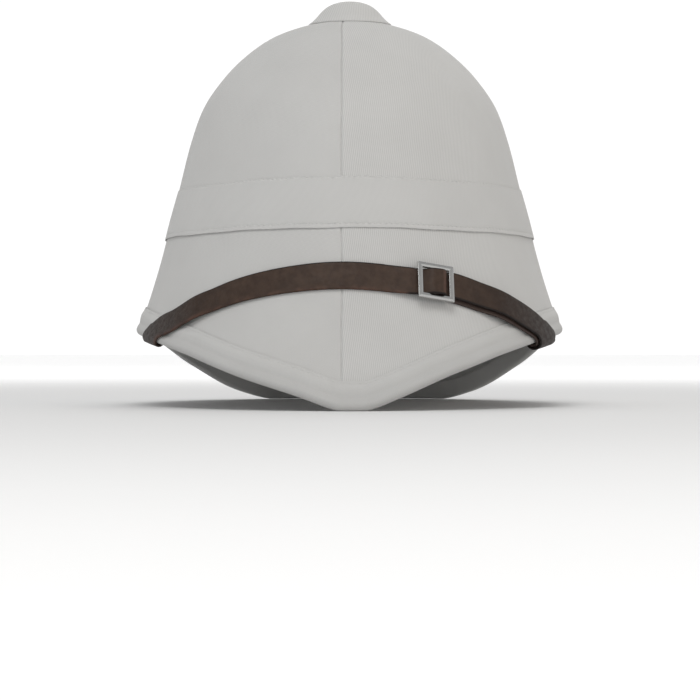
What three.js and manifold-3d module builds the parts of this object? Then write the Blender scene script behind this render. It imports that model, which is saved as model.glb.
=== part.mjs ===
import * as THREE from 'three';
import { mergeVertices } from 'three/addons/utils/BufferGeometryUtils.js';
import Module from 'manifold-3d';

// White cloth-covered pith helmet with a leather chin strap worn up over the front peak.
// Millimetres, +Z up, front towards -Y, wearer's left towards +X. The origin lies on the
// surface that the helmet rests on, under the middle of the brim.

const { clamp, degToRad, euclideanModulo, lerp, radToDeg, smoothstep } = THREE.MathUtils;

// The whole helmet
const BRIM_WIDTH = 244;
const BRIM_LENGTH = 336;
const PEAK_FLARE = 0.37; // 0 is a straight wall, 1 starts upright and sweeps out
const SIDE_FLARE = 0.2;
const REAR_SQUARENESS = 2.2; // 2 is an ellipse in plan
const BAND_FOOT = 95.6;
const BAND_HEIGHT = 27.1;
const BAND_DROOP = { by: 1.3, from: degToRad(5), to: degToRad(50) }; // lower at the sides than in front
const BAND_ASKEW = 0.3; // higher on the wearer's left, lower on the right
const PEAK_TURN = { by: degToRad(2.75), from: degToRad(8), to: degToRad(30) }; // point left of the seam

// Walls, trim and the clearance that seated pieces keep
const SHELL_WALL = 3;
const CLOTH = 1.2;
const GAP = 0.3;
const BINDING_OUTSIDE = 12.5;
const BINDING_INSIDE = 10;
const BINDING_FOOT_ANGLE = degToRad(25); // half of the flat that the brim stands on

// Chin strap, its slide and its hooks
const STRAP_WIDTH = 15.4;
const STRAP_THICKNESS = 1.5;
const STRAP_STAND_OFF = 0.6; // clearance of the stiff strap over the binding
const STRAP_TAPER = { by: 1, from: 5, to: 85 }; // narrower towards the right hook
const STRAP_SLIP = { up: 0.8, down: 2.1 }; // across, where two layers lie on each other
const STRAP_SLIPS = { from: 4.1, full: 12.3, until: 16.4 }; // past the slide's middle
const STRAP_SEWN_END = 1.2; // past the slide's pin
const STRAP_SPARE_END = 18; // past the right hook
const STRAP_COMES_DOWN = { from: 8, to: 22 }; // clear of the binding, on to the bare cover
const STRAP_CLIMB = { from: 26.6, to: 9.2 }; // right of the slide, on to the doubled end
const STRAP_LEAN = { from: 42, to: 7.8 }; // before the brim's edge
const STRAP_BRIDGE = { rise: 0.6, from: 25 }; // where it spans the hollow of the brim's flare
const SLIDE_ANGLE = degToRad(25.1);
const SLIDE_TILT = degToRad(-2.5); // turned further than the strap's slope
const SLIDE_LENGTH = 20.5;
const SLIDE_HEIGHT = 20.4;
const SLIDE_BAR = 2.65;
const SLIDE_PINCH = { by: 1.1, until: 14.4 }; // its window draws the strap in
const SLIDE_THICKNESS = 2;
const SLIDE_BEVEL = 0.5;
const SLIDE_CORNER = 0.6;
const SLIDE_WINDOW_CORNER = 0.9;
const SLIDE_PIN_RADIUS = 0.7;
const SLIDE_LEG = 1;
const SLIDE_GRIP = 30.8; // from its middle to where the strap no longer turns with it
const HOOK_WIRE_RADIUS = 1.2;
const HOOK_HALF_SPAN = 10;
const HOOK_CORNER = 2;
const HOOK_CLEARANCE = 0.5;
const HOOK_INSET = 8; // from the end of the strap's way
const HOOK_FOOT_GAP = 0.1;

// Fineness of the solids
const COLUMNS = 64;
const PEAK_CROWDING = 0.15;
const CROWN_ROWS = 12;
const BRIM_ROWS = 6;
const BUTTON_SIDES = 28;
const BUTTON_ROWS = 10;
const STRAP_MARKS = 300;
const STRAP_STATION = { close: 2.2, wide: 6 };
const STRAP_CLOSE = 12.5; // past both sides of the brim's edge
const TURN_STEPS = 6;
const TURN_LEAD = 2.5; // from a turn of the strap to its next station
const PIN_SIDES = 10;
const WIRE_STEPS = 20;

// Levels are distances from the middle surface of the shell's wall, positive on the outside.
const FACE = SHELL_WALL / 2;
const TRIM_SEAT = FACE + GAP;
const TRIM_FACE = TRIM_SEAT + CLOTH;

// Oval sections of the crown's wall, from the top down to the foot of the band
const CROWN_SECTIONS = [
  { height: 218.8, halfWidth: 6.0, halfLength: 6.0 },
  { height: 217.8, halfWidth: 15.0, halfLength: 15.0 },
  { height: 215.1, halfWidth: 27.3, halfLength: 28.0 },
  { height: 207.9, halfWidth: 45.2, halfLength: 51.0 },
  { height: 196.8, halfWidth: 60.4, halfLength: 72.0 },
  { height: 185.7, halfWidth: 71.2, halfLength: 86.0 },
  { height: 169.0, halfWidth: 82.6, halfLength: 100.5 },
  { height: 149.5, halfWidth: 89.6, halfLength: 109.5 },
  { height: 123.6, halfWidth: 96.2, halfLength: 118.0 },
  { height: BAND_FOOT, halfWidth: 103.3, halfLength: 126.0 },
];

// Height of the brim's edge above the table, by degrees round from the front
const EDGE_RISE = [
  { angle: 0, rise: 0 },
  { angle: 2.75, rise: 0 },
  { angle: 5, rise: 1.1 },
  { angle: 7.6, rise: 3 },
  { angle: 10, rise: 4.9 },
  { angle: 15.2, rise: 8.8 },
  { angle: 23, rise: 14.6 },
  { angle: 30, rise: 19.6 },
  { angle: 45, rise: 29.2 },
  { angle: 60, rise: 35.6 },
  { angle: 75, rise: 39.2 },
  { angle: 90, rise: 40.5 },
  { angle: 105, rise: 36.5 },
  { angle: 125, rise: 21.5 },
  { angle: 145, rise: 5 },
  { angle: 157, rise: 0 },
  { angle: 180, rise: 0 },
];

// Button on top: its outline from the foot of the skirt to the crown of the dome
const BUTTON_OUTLINE = [
  { radius: 23.9, height: 218.5 },
  { radius: 21.7, height: 220.2 },
  { radius: 19.6, height: 222.3 },
  { radius: 15.6, height: 226.7 },
  { radius: 11.8, height: 229.4 },
  { radius: 6.2, height: 231.3 },
  { radius: 0, height: 231.9 },
];
const BUTTON_SEAT_RADIUS = 23.2;

// Half of the strap's way, from the middle of the front to its end inside the shell, by degrees
// round from the front, height, and how much higher it lies on the wearer's left than halfway
// between both sides. Past the brim's edge the strap goes round it and up the inside, by as much
// as the height here falls below the edge.
const ROUND_THE_EDGE = Math.PI * TRIM_FACE;
const STRAP_WAY = [
  { angle: 0, height: 69.2, skew: 0 },
  { angle: 9, height: 68.3, skew: 0 },
  { angle: 20, height: 65.4, skew: 0 },
  { angle: 30, height: 61.9, skew: 0.9 },
  { angle: 40, height: 55.3, skew: 1.7 },
  { angle: 50, height: 45.8, skew: 1.8 },
  { angle: 55.5, height: 41.6, skew: 0.7 },
  { angle: 59, height: 38.1, skew: 0 },
  { angle: 64, height: 29.8, skew: 0 },
  { angle: 84, height: -6.5, skew: 0 },
];

const COTTON = new THREE.MeshStandardMaterial({ color: 0xdedcd5, roughness: 0.9, metalness: 0 });
const LEATHER = new THREE.MeshStandardMaterial({ color: 0x42322b, roughness: 0.5, metalness: 0 });
const NICKEL = new THREE.MeshStandardMaterial({ color: 0xcfd0d2, roughness: 0.22, metalness: 1 });
const STEEL = new THREE.MeshStandardMaterial({ color: 0x8f9092, roughness: 0.4, metalness: 1 });

// The same angle between -PI and PI
function fromFront(angle) {
  return euclideanModulo(angle + Math.PI, 2 * Math.PI) - Math.PI;
}

// Height of the brim's edge at an angle, by a cubic that never overshoots its rows
function edgeRise(angle) {
  const turned = fromFront(angle);
  const aside = PEAK_TURN.by * (1 - smoothstep(Math.abs(turned), PEAK_TURN.from, PEAK_TURN.to));
  const degrees = radToDeg(Math.abs(turned - aside));
  const last = EDGE_RISE.length - 2;
  const i = clamp(EDGE_RISE.findIndex((row) => row.angle > degrees) - 1, 0, last);
  const span = EDGE_RISE[i + 1].angle - EDGE_RISE[i].angle;
  const t = clamp((degrees - EDGE_RISE[i].angle) / span, 0, 1);
  const rise = EDGE_RISE[i + 1].rise - EDGE_RISE[i].rise;
  const start = riseSlope(i) * span;
  const end = riseSlope(i + 1) * span;
  return EDGE_RISE[i].rise + t * (start + t * (3 * rise - 2 * start - end + t * (start + end - 2 * rise)));
}

// Slope of the edge at a row of EDGE_RISE: the harmonic mean of its two neighbours, or level
// where the edge turns
function riseSlope(i) {
  const slope = (k) => {
    const from = EDGE_RISE[k];
    const to = EDGE_RISE[k + 1];
    return from && to ? (to.rise - from.rise) / (to.angle - from.angle) : 0;
  };
  const before = slope(i - 1);
  const after = slope(i);
  return before * after > 0 ? (2 * before * after) / (before + after) : 0;
}

const crownCurve = new THREE.CatmullRomCurve3(
  CROWN_SECTIONS.map((s) => new THREE.Vector3(s.halfWidth, s.halfLength, s.height)),
);

// Middle of the shell's wall at the brim's edge
function edgePoint(angle) {
  const power = Math.cos(angle) < 0 ? 2 / REAR_SQUARENESS : 1;
  const bulge = (value) => Math.sign(value) * Math.abs(value) ** power;
  return new THREE.Vector3(
    (BRIM_WIDTH / 2 - TRIM_FACE) * bulge(Math.sin(angle)),
    -(BRIM_LENGTH / 2 - TRIM_FACE) * bulge(Math.cos(angle)),
    edgeRise(angle) + TRIM_FACE * Math.cos(BINDING_FOOT_ANGLE),
  );
}

// Middle of the shell's wall. down runs from 0 at the top to 1 at the foot of the band and 2 at
// the brim's edge.
function wallMiddle(angle, down) {
  const section = crownCurve.getPointAt(clamp(down, 0, 1));
  const foot = new THREE.Vector3(section.x * Math.sin(angle), -section.y * Math.cos(angle), section.z);
  if (down <= 1) {
    return foot;
  }
  const edge = edgePoint(angle);
  const drop = down - 1;
  const flare = lerp(SIDE_FLARE, PEAK_FLARE, Math.cos(angle) ** 2);
  const spread = drop * (1 - flare + flare * drop);
  const x = lerp(foot.x, edge.x, spread);
  const y = lerp(foot.y, edge.y, spread);
  return new THREE.Vector3(x, y, lerp(foot.z, edge.z, drop));
}

// Directions at a point of the wall: round the helmet, out of the wall, and off its lower end
function wallFrame(angle, down) {
  const step = 1e-3;
  const round = wallMiddle(angle + step, down).sub(wallMiddle(angle - step, down)).normalize();
  const falling = wallMiddle(angle, down + step).sub(wallMiddle(angle, Math.max(down - step, 0)));
  const out = falling.cross(round).normalize();
  const off = round.clone().cross(out);
  return { round, out, off };
}

function wallAt(angle, down, level) {
  return wallMiddle(angle, down).addScaledVector(wallFrame(angle, down).out, level);
}

// Point on the round that wraps the brim's edge, from 0 on the outside to PI on the inside
function edgeRound(angle, turn, radius) {
  const { out, off } = wallFrame(angle, 2);
  const point = edgePoint(angle);
  point.addScaledVector(out, radius * Math.cos(turn));
  return point.addScaledVector(off, radius * Math.sin(turn));
}

// Length of the brim's wall from the foot of the band to the edge
function brimDepth(angle) {
  const rungs = Array.from({ length: BRIM_ROWS + 1 }, (_, i) => wallMiddle(angle, 1 + i / BRIM_ROWS));
  return rungs.slice(1).reduce((sum, point, i) => sum + point.distanceTo(rungs[i]), 0);
}

function crownDownAt(height) {
  let low = 0;
  let high = 1;
  while (high - low > 1e-6) {
    const middle = (low + high) / 2;
    if (crownCurve.getPointAt(middle).z > height) {
      low = middle;
    } else {
      high = middle;
    }
  }
  return low;
}

// A closed body through rings of equally many points. The last ring either joins the first or
// both end rings are capped.
function bodyThroughRings(rings, joined) {
  const count = rings[0].length;
  const points = rings.flat();
  const index = [];
  const quads = joined ? rings.length : rings.length - 1;
  for (let i = 0; i < quads; i++) {
    const here = i * count;
    const there = ((i + 1) % rings.length) * count;
    for (let j = 0; j < count; j++) {
      const k = (j + 1) % count;
      index.push(here + j, here + k, there + k, here + j, there + k, there + j);
    }
  }
  if (!joined) {
    capRing(points, index, rings[0], 0, true);
    capRing(points, index, rings.at(-1), (rings.length - 1) * count, false);
  }
  return facingOut(points, index);
}

function capRing(points, index, ring, start, first) {
  const middle = ring.reduce((sum, p) => sum.add(p), new THREE.Vector3()).divideScalar(ring.length);
  const hub = points.push(middle) - 1;
  ring.forEach((_, j) => {
    const a = start + j;
    const b = start + ((j + 1) % ring.length);
    index.push(...(first ? [hub, b, a] : [hub, a, b]));
  });
}

// Geometry from points and triangles, turned so that its faces point out
function facingOut(points, index) {
  let volume = 0;
  for (let i = 0; i < index.length; i += 3) {
    const [a, b, c] = index.slice(i, i + 3).map((n) => points[n]);
    volume += a.dot(b.clone().cross(c));
  }
  const geometry = new THREE.BufferGeometry().setFromPoints(points);
  geometry.setIndex(volume > 0 ? index : index.toReversed());
  geometry.computeVertexNormals();
  return geometry;
}

// One point for each column of the solids. The columns are closest at the two peaks.
function roundTheHelmet(pointAt) {
  return Array.from({ length: COLUMNS }, (_, i) => {
    const even = (2 * Math.PI * i) / COLUMNS;
    return pointAt(even - PEAK_CROWDING * Math.sin(2 * even));
  });
}

function piece(name, geometry, material) {
  const mesh = new THREE.Mesh(geometry, material);
  mesh.name = name;
  return mesh;
}

// Crown and brim in one wall, open below for the head
function shell() {
  const rows = [];
  for (let i = 0; i <= CROWN_ROWS; i++) {
    rows.push(i / CROWN_ROWS);
  }
  for (let i = 1; i <= BRIM_ROWS; i++) {
    rows.push(1 + i / BRIM_ROWS);
  }
  const outside = rows.map((down) => roundTheHelmet((angle) => wallAt(angle, down, FACE)));
  const inside = rows.map((down) => roundTheHelmet((angle) => wallAt(angle, down, -FACE)));
  return piece('shell', bodyThroughRings([...outside, ...inside.reverse()], false), COTTON);
}

// Place on the wall at a height over the crown's foot, where the band lies a little askew
function bandDown(angle, height) {
  const droop = BAND_DROOP.by * smoothstep(Math.abs(fromFront(angle)), BAND_DROOP.from, BAND_DROOP.to);
  const lifted = height + BAND_ASKEW * Math.sin(angle) - droop;
  return lifted > 0 ? crownDownAt(BAND_FOOT + lifted) : 1 - lifted / brimDepth(angle);
}

// Flat cloth band round the foot of the crown
function crownBand() {
  const heights = [BAND_HEIGHT, BAND_HEIGHT / 2, 0];
  const ring = (height, level) => roundTheHelmet((angle) => wallAt(angle, bandDown(angle, height), level));
  const outside = heights.map((height) => ring(height, TRIM_FACE));
  const inside = heights.map((height) => ring(height, TRIM_SEAT));
  return piece('crown_band', bodyThroughRings([...outside, ...inside.reverse()], true), COTTON);
}

// One section of the cloth folded over the brim's edge. Its foot is level, so that the helmet
// stands on it at the front and the rear.
function bindingSection(angle) {
  const { out, off } = wallFrame(angle, 2);
  const lowest = Math.atan2(-off.z, -out.z);
  const foot = [lowest - BINDING_FOOT_ANGLE, lowest + BINDING_FOOT_ANGLE];
  const turns = [0, foot[0] / 2, ...foot, Math.PI];
  const depth = brimDepth(angle);
  const up = (distance, level) => wallAt(angle, 2 - distance / depth, level);
  const outer = [
    up(BINDING_OUTSIDE, TRIM_FACE),
    up(BINDING_OUTSIDE / 2, TRIM_FACE),
    ...turns.map((turn) => edgeRound(angle, turn, TRIM_FACE)),
    up(BINDING_INSIDE, -TRIM_FACE),
  ];
  const inner = [
    up(BINDING_INSIDE, -TRIM_SEAT),
    ...[Math.PI, foot[1], foot[0], 0].map((turn) => edgeRound(angle, turn, TRIM_SEAT)),
    up(BINDING_OUTSIDE / 2, TRIM_SEAT),
    up(BINDING_OUTSIDE, TRIM_SEAT),
  ];
  return [...outer, ...inner];
}

function brimBinding() {
  return piece('brim_binding', bodyThroughRings(roundTheHelmet(bindingSection), true), COTTON);
}

// Domed button with a flared skirt, seated on the top of the crown
function topButton() {
  const seatDown = crownDownAt(CROWN_SECTIONS[2].height);
  const seat = [0, 0.5, 1].map((t) => wallAt(Math.PI / 2, t * seatDown, TRIM_SEAT));
  const underside = seat.filter((p) => p.x < BUTTON_SEAT_RADIUS).map((p) => new THREE.Vector2(p.x, p.z));
  const rim = seat.at(-1);
  const before = seat.at(-2);
  const share = (BUTTON_SEAT_RADIUS - before.x) / (rim.x - before.x);
  underside.push(new THREE.Vector2(BUTTON_SEAT_RADIUS, lerp(before.z, rim.z, share)));
  const outline = new THREE.SplineCurve(BUTTON_OUTLINE.map((p) => new THREE.Vector2(p.radius, p.height)));
  const middle = new THREE.Vector2(0, underside[0].y);
  const profile = [middle, ...underside, ...outline.getSpacedPoints(BUTTON_ROWS)];
  profile.at(-1).x = 0;
  const geometry = new THREE.LatheGeometry(profile, BUTTON_SIDES).rotateX(Math.PI / 2);
  return piece('top_button', geometry, COTTON);
}

// Point over the helmet's wall as the strap meets it: up the outside, round the edge, up the inside
function overWall(angle, fromEdge, level) {
  const radius = TRIM_FACE + level;
  if (fromEdge < 0 && fromEdge > -ROUND_THE_EDGE) {
    return edgeRound(angle, -fromEdge / TRIM_FACE, radius);
  }
  const inside = fromEdge < 0;
  const distance = inside ? -fromEdge - ROUND_THE_EDGE : fromEdge;
  return wallAt(angle, 2 - distance / brimDepth(angle), inside ? -radius : radius);
}

// The strap's way over the wall, measured along its true length from the middle of the front
function strapWay() {
  const perRadian = (BRIM_WIDTH + BRIM_LENGTH) / 4;
  const at = ({ angle, height, skew }, side) =>
    new THREE.Vector3(side * degToRad(angle) * perRadian, height + side * skew, 0);
  const right = STRAP_WAY.slice(1).reverse().map((row) => at(row, -1));
  const left = STRAP_WAY.map((row) => at(row, 1));
  const curve = new THREE.CatmullRomCurve3([...right, ...left]);
  let walked = 0;
  let last = null;
  const marks = curve.getSpacedPoints(STRAP_MARKS).map((p) => {
    const angle = p.x / perRadian;
    const fromEdge = heightFromEdge(angle, p.y);
    const here = overWall(angle, fromEdge, 0);
    walked += last ? here.distanceTo(last) : 0;
    last = here;
    return { angle, fromEdge, walked };
  });
  return marks.map((mark) => ({ ...mark, along: mark.walked - walked / 2 }));
}

// Distance along the wall from the brim's edge up to a height, negative below the edge
function heightFromEdge(angle, height) {
  const edge = edgePoint(angle).z;
  const climb = height - edge;
  return climb > 0 ? (climb * brimDepth(angle)) / (BAND_FOOT - edge) : climb;
}

const strapMarks = strapWay();
const STRAP_REACH = strapMarks.at(-1).along;

function strapMark(along) {
  const last = strapMarks.length - 2;
  const i = clamp(strapMarks.findIndex((mark) => mark.along > along) - 1, 0, last);
  const from = strapMarks[i];
  const to = strapMarks[i + 1];
  const t = (along - from.along) / (to.along - from.along);
  return { angle: lerp(from.angle, to.angle, t), fromEdge: lerp(from.fromEdge, to.fromEdge, t) };
}

// Point of the strap: along its length, across its width from the lower edge to the upper, and
// out from the surface that it lies on
function strapPoint(along, across, level) {
  const { angle, fromEdge } = strapMark(along);
  const turn = 0.01;
  const rise = 0.5;
  const round = overWall(angle + turn, fromEdge, 0).sub(overWall(angle - turn, fromEdge, 0));
  const up = overWall(angle, fromEdge + rise, 0).sub(overWall(angle, fromEdge - rise, 0));
  round.divideScalar(2 * turn);
  up.divideScalar(2 * rise);
  const back = strapMark(along - 1);
  const ahead = strapMark(along + 1);
  const heading = round.clone().multiplyScalar(ahead.angle - back.angle);
  heading.addScaledVector(up, ahead.fromEdge - back.fromEdge);
  const square = { angle: -heading.dot(up), fromEdge: heading.dot(round) };
  const length = round.multiplyScalar(square.angle).addScaledVector(up, square.fromEdge).length();
  const share = across / length;
  return overWall(angle + square.angle * share, fromEdge + square.fromEdge * share, level);
}

// Place on the strap's left half where a measure of its way passes zero
function alongWhere(measure) {
  const i = strapMarks.findIndex((mark) => mark.along > 0 && measure(mark) > 0);
  const from = strapMarks[i - 1];
  const to = strapMarks[i];
  const share = measure(from) / (measure(from) - measure(to));
  return lerp(from.along, to.along, share);
}

const SLIDE_ALONG = alongWhere((mark) => mark.angle - SLIDE_ANGLE);
const EDGE_ALONG = alongWhere((mark) => -mark.fromEdge);
const INSIDE_ALONG = alongWhere((mark) => -mark.fromEdge - ROUND_THE_EDGE);
const HOOK_ALONG = STRAP_REACH - HOOK_INSET;

// Levels of the strap's middle, counted from the face of the binding
const LAYER = STRAP_THICKNESS + GAP;
const SLIDE_TURN = SLIDE_PIN_RADIUS + GAP + STRAP_THICKNESS / 2;
const HOOK_TURN = HOOK_WIRE_RADIUS + HOOK_CLEARANCE + STRAP_THICKNESS / 2;
const BARE_SEAT = TRIM_SEAT - TRIM_FACE;
const SLIDE_PIN_LEVEL = BARE_SEAT + STRAP_THICKNESS / 2 + SLIDE_TURN;

// How far the taut strap stands off the wall, between its seat in front and the brim's edge
function bridgeRise(along) {
  const from = along > 0 ? SLIDE_ALONG + SLIDE_LENGTH : STRAP_BRIDGE.from;
  const share = clamp((Math.abs(along) - from) / (EDGE_ALONG - from), 0, 1);
  return STRAP_BRIDGE.rise * Math.sin(Math.PI * share) ** 2;
}

// The layer next to the wall: on the bare cover in front, and on the binding near the edge
function lowerLevel(along) {
  const { from, to } = STRAP_COMES_DOWN;
  const share = smoothstep(strapMark(along).fromEdge, BINDING_OUTSIDE + from, BINDING_OUTSIDE + to);
  return lerp(STRAP_STAND_OFF, BARE_SEAT, share) + bridgeRise(along) + STRAP_THICKNESS / 2;
}

// The layer that shows: it lies on the lower one left of the slide, passes over the slide's
// pin and under both of its side bars, and comes down to the cover further right
function upperLevel(along) {
  const fromSlide = along - SLIDE_ALONG;
  const window = SLIDE_LENGTH / 2 - SLIDE_BAR;
  const doubled = LAYER * smoothstep(fromSlide, -STRAP_CLIMB.from, -STRAP_CLIMB.to);
  const overPin = 2 * SLIDE_TURN * (1 - smoothstep(Math.abs(fromSlide), STRAP_SEWN_END, window - GAP));
  const fromHook = (2 * HOOK_TURN - LAYER) * smoothstep(along, HOOK_ALONG - STRAP_WIDTH, HOOK_ALONG);
  return lowerLevel(along) + doubled + overPin + fromHook;
}

// Share of its full slip across that a layer has, from the slide to the hook
function strapSlip(along) {
  const starts = smoothstep(along - SLIDE_ALONG, STRAP_SLIPS.from, STRAP_SLIPS.full);
  const ends = 1 - smoothstep(along, SLIDE_ALONG + STRAP_SLIPS.until, HOOK_ALONG);
  return starts * ends;
}

// Width of the strap, which tapers and is drawn in by the slide
function strapWidth(along) {
  const fromSlide = Math.abs(along - SLIDE_ALONG);
  const taper = STRAP_TAPER.by * smoothstep(-along, STRAP_TAPER.from, STRAP_TAPER.to);
  const window = SLIDE_LENGTH / 2 - SLIDE_BAR;
  const pinch = SLIDE_PINCH.by * (1 - smoothstep(fromSlide, window, SLIDE_PINCH.until));
  return STRAP_WIDTH - taper - pinch;
}

// Side view of the whole strap as points of along, level and slip: from its sewn end on the
// slide's pin to the left hook, back through the slide, and over the front to the right hook
function strapSideView() {
  const path = [];
  const run = (from, to, levelAt, slipAt) => {
    const way = Math.sign(to - from);
    let along = from + way * TURN_LEAD;
    while ((to - along) * way > TURN_LEAD) {
      path.push(new THREE.Vector3(along, levelAt(along), slipAt(along)));
      along += way * strapStep(along);
    }
  };
  const turn = (along, level, radius, startAngle, sweep) => {
    for (let i = 0; i <= TURN_STEPS; i++) {
      const angle = startAngle + (sweep * i) / TURN_STEPS;
      path.push(new THREE.Vector3(along + radius * Math.cos(angle), level + radius * Math.sin(angle), 0));
    }
  };
  const half = Math.PI / 2;
  const rightHookLevel = lowerLevel(-HOOK_ALONG) + HOOK_TURN;
  path.push(new THREE.Vector3(SLIDE_ALONG + STRAP_SEWN_END, SLIDE_PIN_LEVEL + SLIDE_TURN, 0));
  turn(SLIDE_ALONG, SLIDE_PIN_LEVEL, SLIDE_TURN, half, Math.PI);
  run(SLIDE_ALONG, HOOK_ALONG, lowerLevel, (along) => -STRAP_SLIP.down * strapSlip(along));
  turn(HOOK_ALONG, lowerLevel(HOOK_ALONG) + HOOK_TURN, HOOK_TURN, -half, Math.PI);
  run(HOOK_ALONG, -HOOK_ALONG, upperLevel, (along) => STRAP_SLIP.up * strapSlip(along));
  turn(-HOOK_ALONG, rightHookLevel, HOOK_TURN, -half, -Math.PI);
  run(-HOOK_ALONG, STRAP_SPARE_END - HOOK_ALONG, () => rightHookLevel + HOOK_TURN, () => 0);
  return path;
}

// Stations are close together round the brim's edge and at the slide
function strapStep(along) {
  const reach = Math.abs(along);
  const nearEdge = reach > EDGE_ALONG - STRAP_CLOSE && reach < INSIDE_ALONG + STRAP_CLOSE;
  const nearSlide = Math.abs(along - SLIDE_ALONG) < SLIDE_LENGTH;
  return nearEdge || nearSlide ? STRAP_STATION.close : STRAP_STATION.wide;
}

// How far a section leans along the strap: parallel to the edge where the strap crosses that edge
// askew, and parallel to the slide's pin at the slide
function strapLean(along) {
  const reach = Math.abs(along);
  const ahead = strapPoint(EDGE_ALONG + 1, 0, 0).sub(strapPoint(EDGE_ALONG - 1, 0, 0));
  const { round } = wallFrame(strapMark(EDGE_ALONG).angle, 2);
  const askew = ahead.angleTo(round);
  const outside = smoothstep(reach, EDGE_ALONG - STRAP_LEAN.from, EDGE_ALONG - STRAP_LEAN.to);
  const inside = 1 - smoothstep(reach, INSIDE_ALONG + STRAP_WIDTH / 4, HOOK_ALONG - STRAP_WIDTH / 4);
  const atSlide = 1 - smoothstep(Math.abs(along - SLIDE_ALONG), SLIDE_LENGTH / 2, SLIDE_GRIP);
  return (Math.sign(along) * outside * inside) / Math.tan(askew) - atSlide * Math.tan(SLIDE_TILT);
}

function chinStrap() {
  const path = strapSideView();
  const rings = path.map((point, i) => {
    const before = path[Math.max(i - 1, 0)];
    const after = path[Math.min(i + 1, path.length - 1)];
    const heading = new THREE.Vector2(after.x - before.x, after.y - before.y).normalize();
    const half = new THREE.Vector2(-heading.y, heading.x).multiplyScalar(STRAP_THICKNESS / 2);
    const lean = strapLean(point.x);
    const wide = strapWidth(point.x) / 2;
    const edges = [-wide, 0, wide];
    const at = (side, across) =>
      strapPoint(point.x + side * half.x + lean * across, across + point.z, point.y + side * half.y);
    const upper = edges.map((across) => at(1, across));
    const lower = edges.map((across) => at(-1, across));
    return [...upper, ...lower.reverse()];
  });
  return piece('chin_strap', bodyThroughRings(rings, false), LEATHER);
}

// Frame of the strap at a place: X along it, Y across it, Z out from the wall
function strapFrame(along) {
  const origin = strapPoint(along, 0, 0);
  const x = strapPoint(along + 1, 0, 0).sub(strapPoint(along - 1, 0, 0)).normalize();
  const z = strapPoint(along, 0, 1).sub(origin).normalize();
  const y = z.clone().cross(x).normalize();
  return new THREE.Matrix4().makeBasis(y.clone().cross(z), y, z).setPosition(origin);
}

function roundedRectangle(Kind, width, height, radius) {
  const outline = new Kind();
  const x = width / 2 - radius;
  const y = height / 2 - radius;
  outline.absarc(x, y, radius, 0, Math.PI / 2);
  outline.absarc(-x, y, radius, Math.PI / 2, Math.PI);
  outline.absarc(-x, -y, radius, Math.PI, 1.5 * Math.PI);
  outline.absarc(x, -y, radius, 1.5 * Math.PI, 2 * Math.PI);
  outline.closePath();
  return outline;
}

const wasm = await Module();
wasm.setup();

function toSolid(geometry) {
  const bare = geometry.clone();
  bare.deleteAttribute('normal');
  bare.deleteAttribute('uv');
  const merged = mergeVertices(bare, 1e-4);
  const vertProperties = new Float32Array(merged.attributes.position.array);
  const triVerts = new Uint32Array(merged.index.array);
  return new wasm.Manifold(new wasm.Mesh({ numProp: 3, vertProperties, triVerts }));
}

function toGeometry(solid) {
  const mesh = solid.getMesh();
  const geometry = new THREE.BufferGeometry();
  geometry.setAttribute('position', new THREE.BufferAttribute(mesh.vertProperties, 3));
  geometry.setIndex(new THREE.BufferAttribute(mesh.triVerts, 1));
  geometry.computeVertexNormals();
  return geometry;
}

// Three-bar slide: a square frame, and a pin below it that the strap's end is sewn round
function slideBuckle() {
  const inset = 2 * SLIDE_BEVEL;
  const outline = roundedRectangle(THREE.Shape, SLIDE_LENGTH - inset, SLIDE_HEIGHT - inset, SLIDE_CORNER);
  const windowLength = SLIDE_LENGTH - 2 * SLIDE_BAR + inset;
  const windowHeight = SLIDE_HEIGHT - 2 * SLIDE_BAR + inset;
  outline.holes.push(roundedRectangle(THREE.Path, windowLength, windowHeight, SLIDE_WINDOW_CORNER));
  const frame = new THREE.ExtrudeGeometry(outline, {
    depth: SLIDE_THICKNESS - inset,
    bevelThickness: SLIDE_BEVEL,
    bevelSize: SLIDE_BEVEL,
    bevelSegments: 1,
    curveSegments: 2,
  });
  const underside = BARE_SEAT + STRAP_THICKNESS + LAYER + GAP;
  frame.translate(0, 0, underside + SLIDE_BEVEL);
  const legY = SLIDE_HEIGHT / 2 - SLIDE_BAR / 2;
  const legTop = underside + SLIDE_THICKNESS / 2;
  const legFoot = SLIDE_PIN_LEVEL - SLIDE_PIN_RADIUS;
  const pin = new THREE.CylinderGeometry(SLIDE_PIN_RADIUS, SLIDE_PIN_RADIUS, 2 * legY, PIN_SIDES);
  pin.translate(0, 0, SLIDE_PIN_LEVEL);
  let slide = toSolid(frame).add(toSolid(pin));
  for (const side of [-1, 1]) {
    const leg = new THREE.BoxGeometry(2 * SLIDE_PIN_RADIUS, SLIDE_LEG, legTop - legFoot);
    leg.translate(0, side * legY, (legTop + legFoot) / 2);
    slide = slide.add(toSolid(leg));
  }
  const mesh = piece('slide_buckle', toGeometry(slide), NICKEL);
  mesh.rotation.z = SLIDE_TILT;
  mesh.updateMatrix();
  mesh.applyMatrix4(strapFrame(SLIDE_ALONG));
  return mesh;
}

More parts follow.
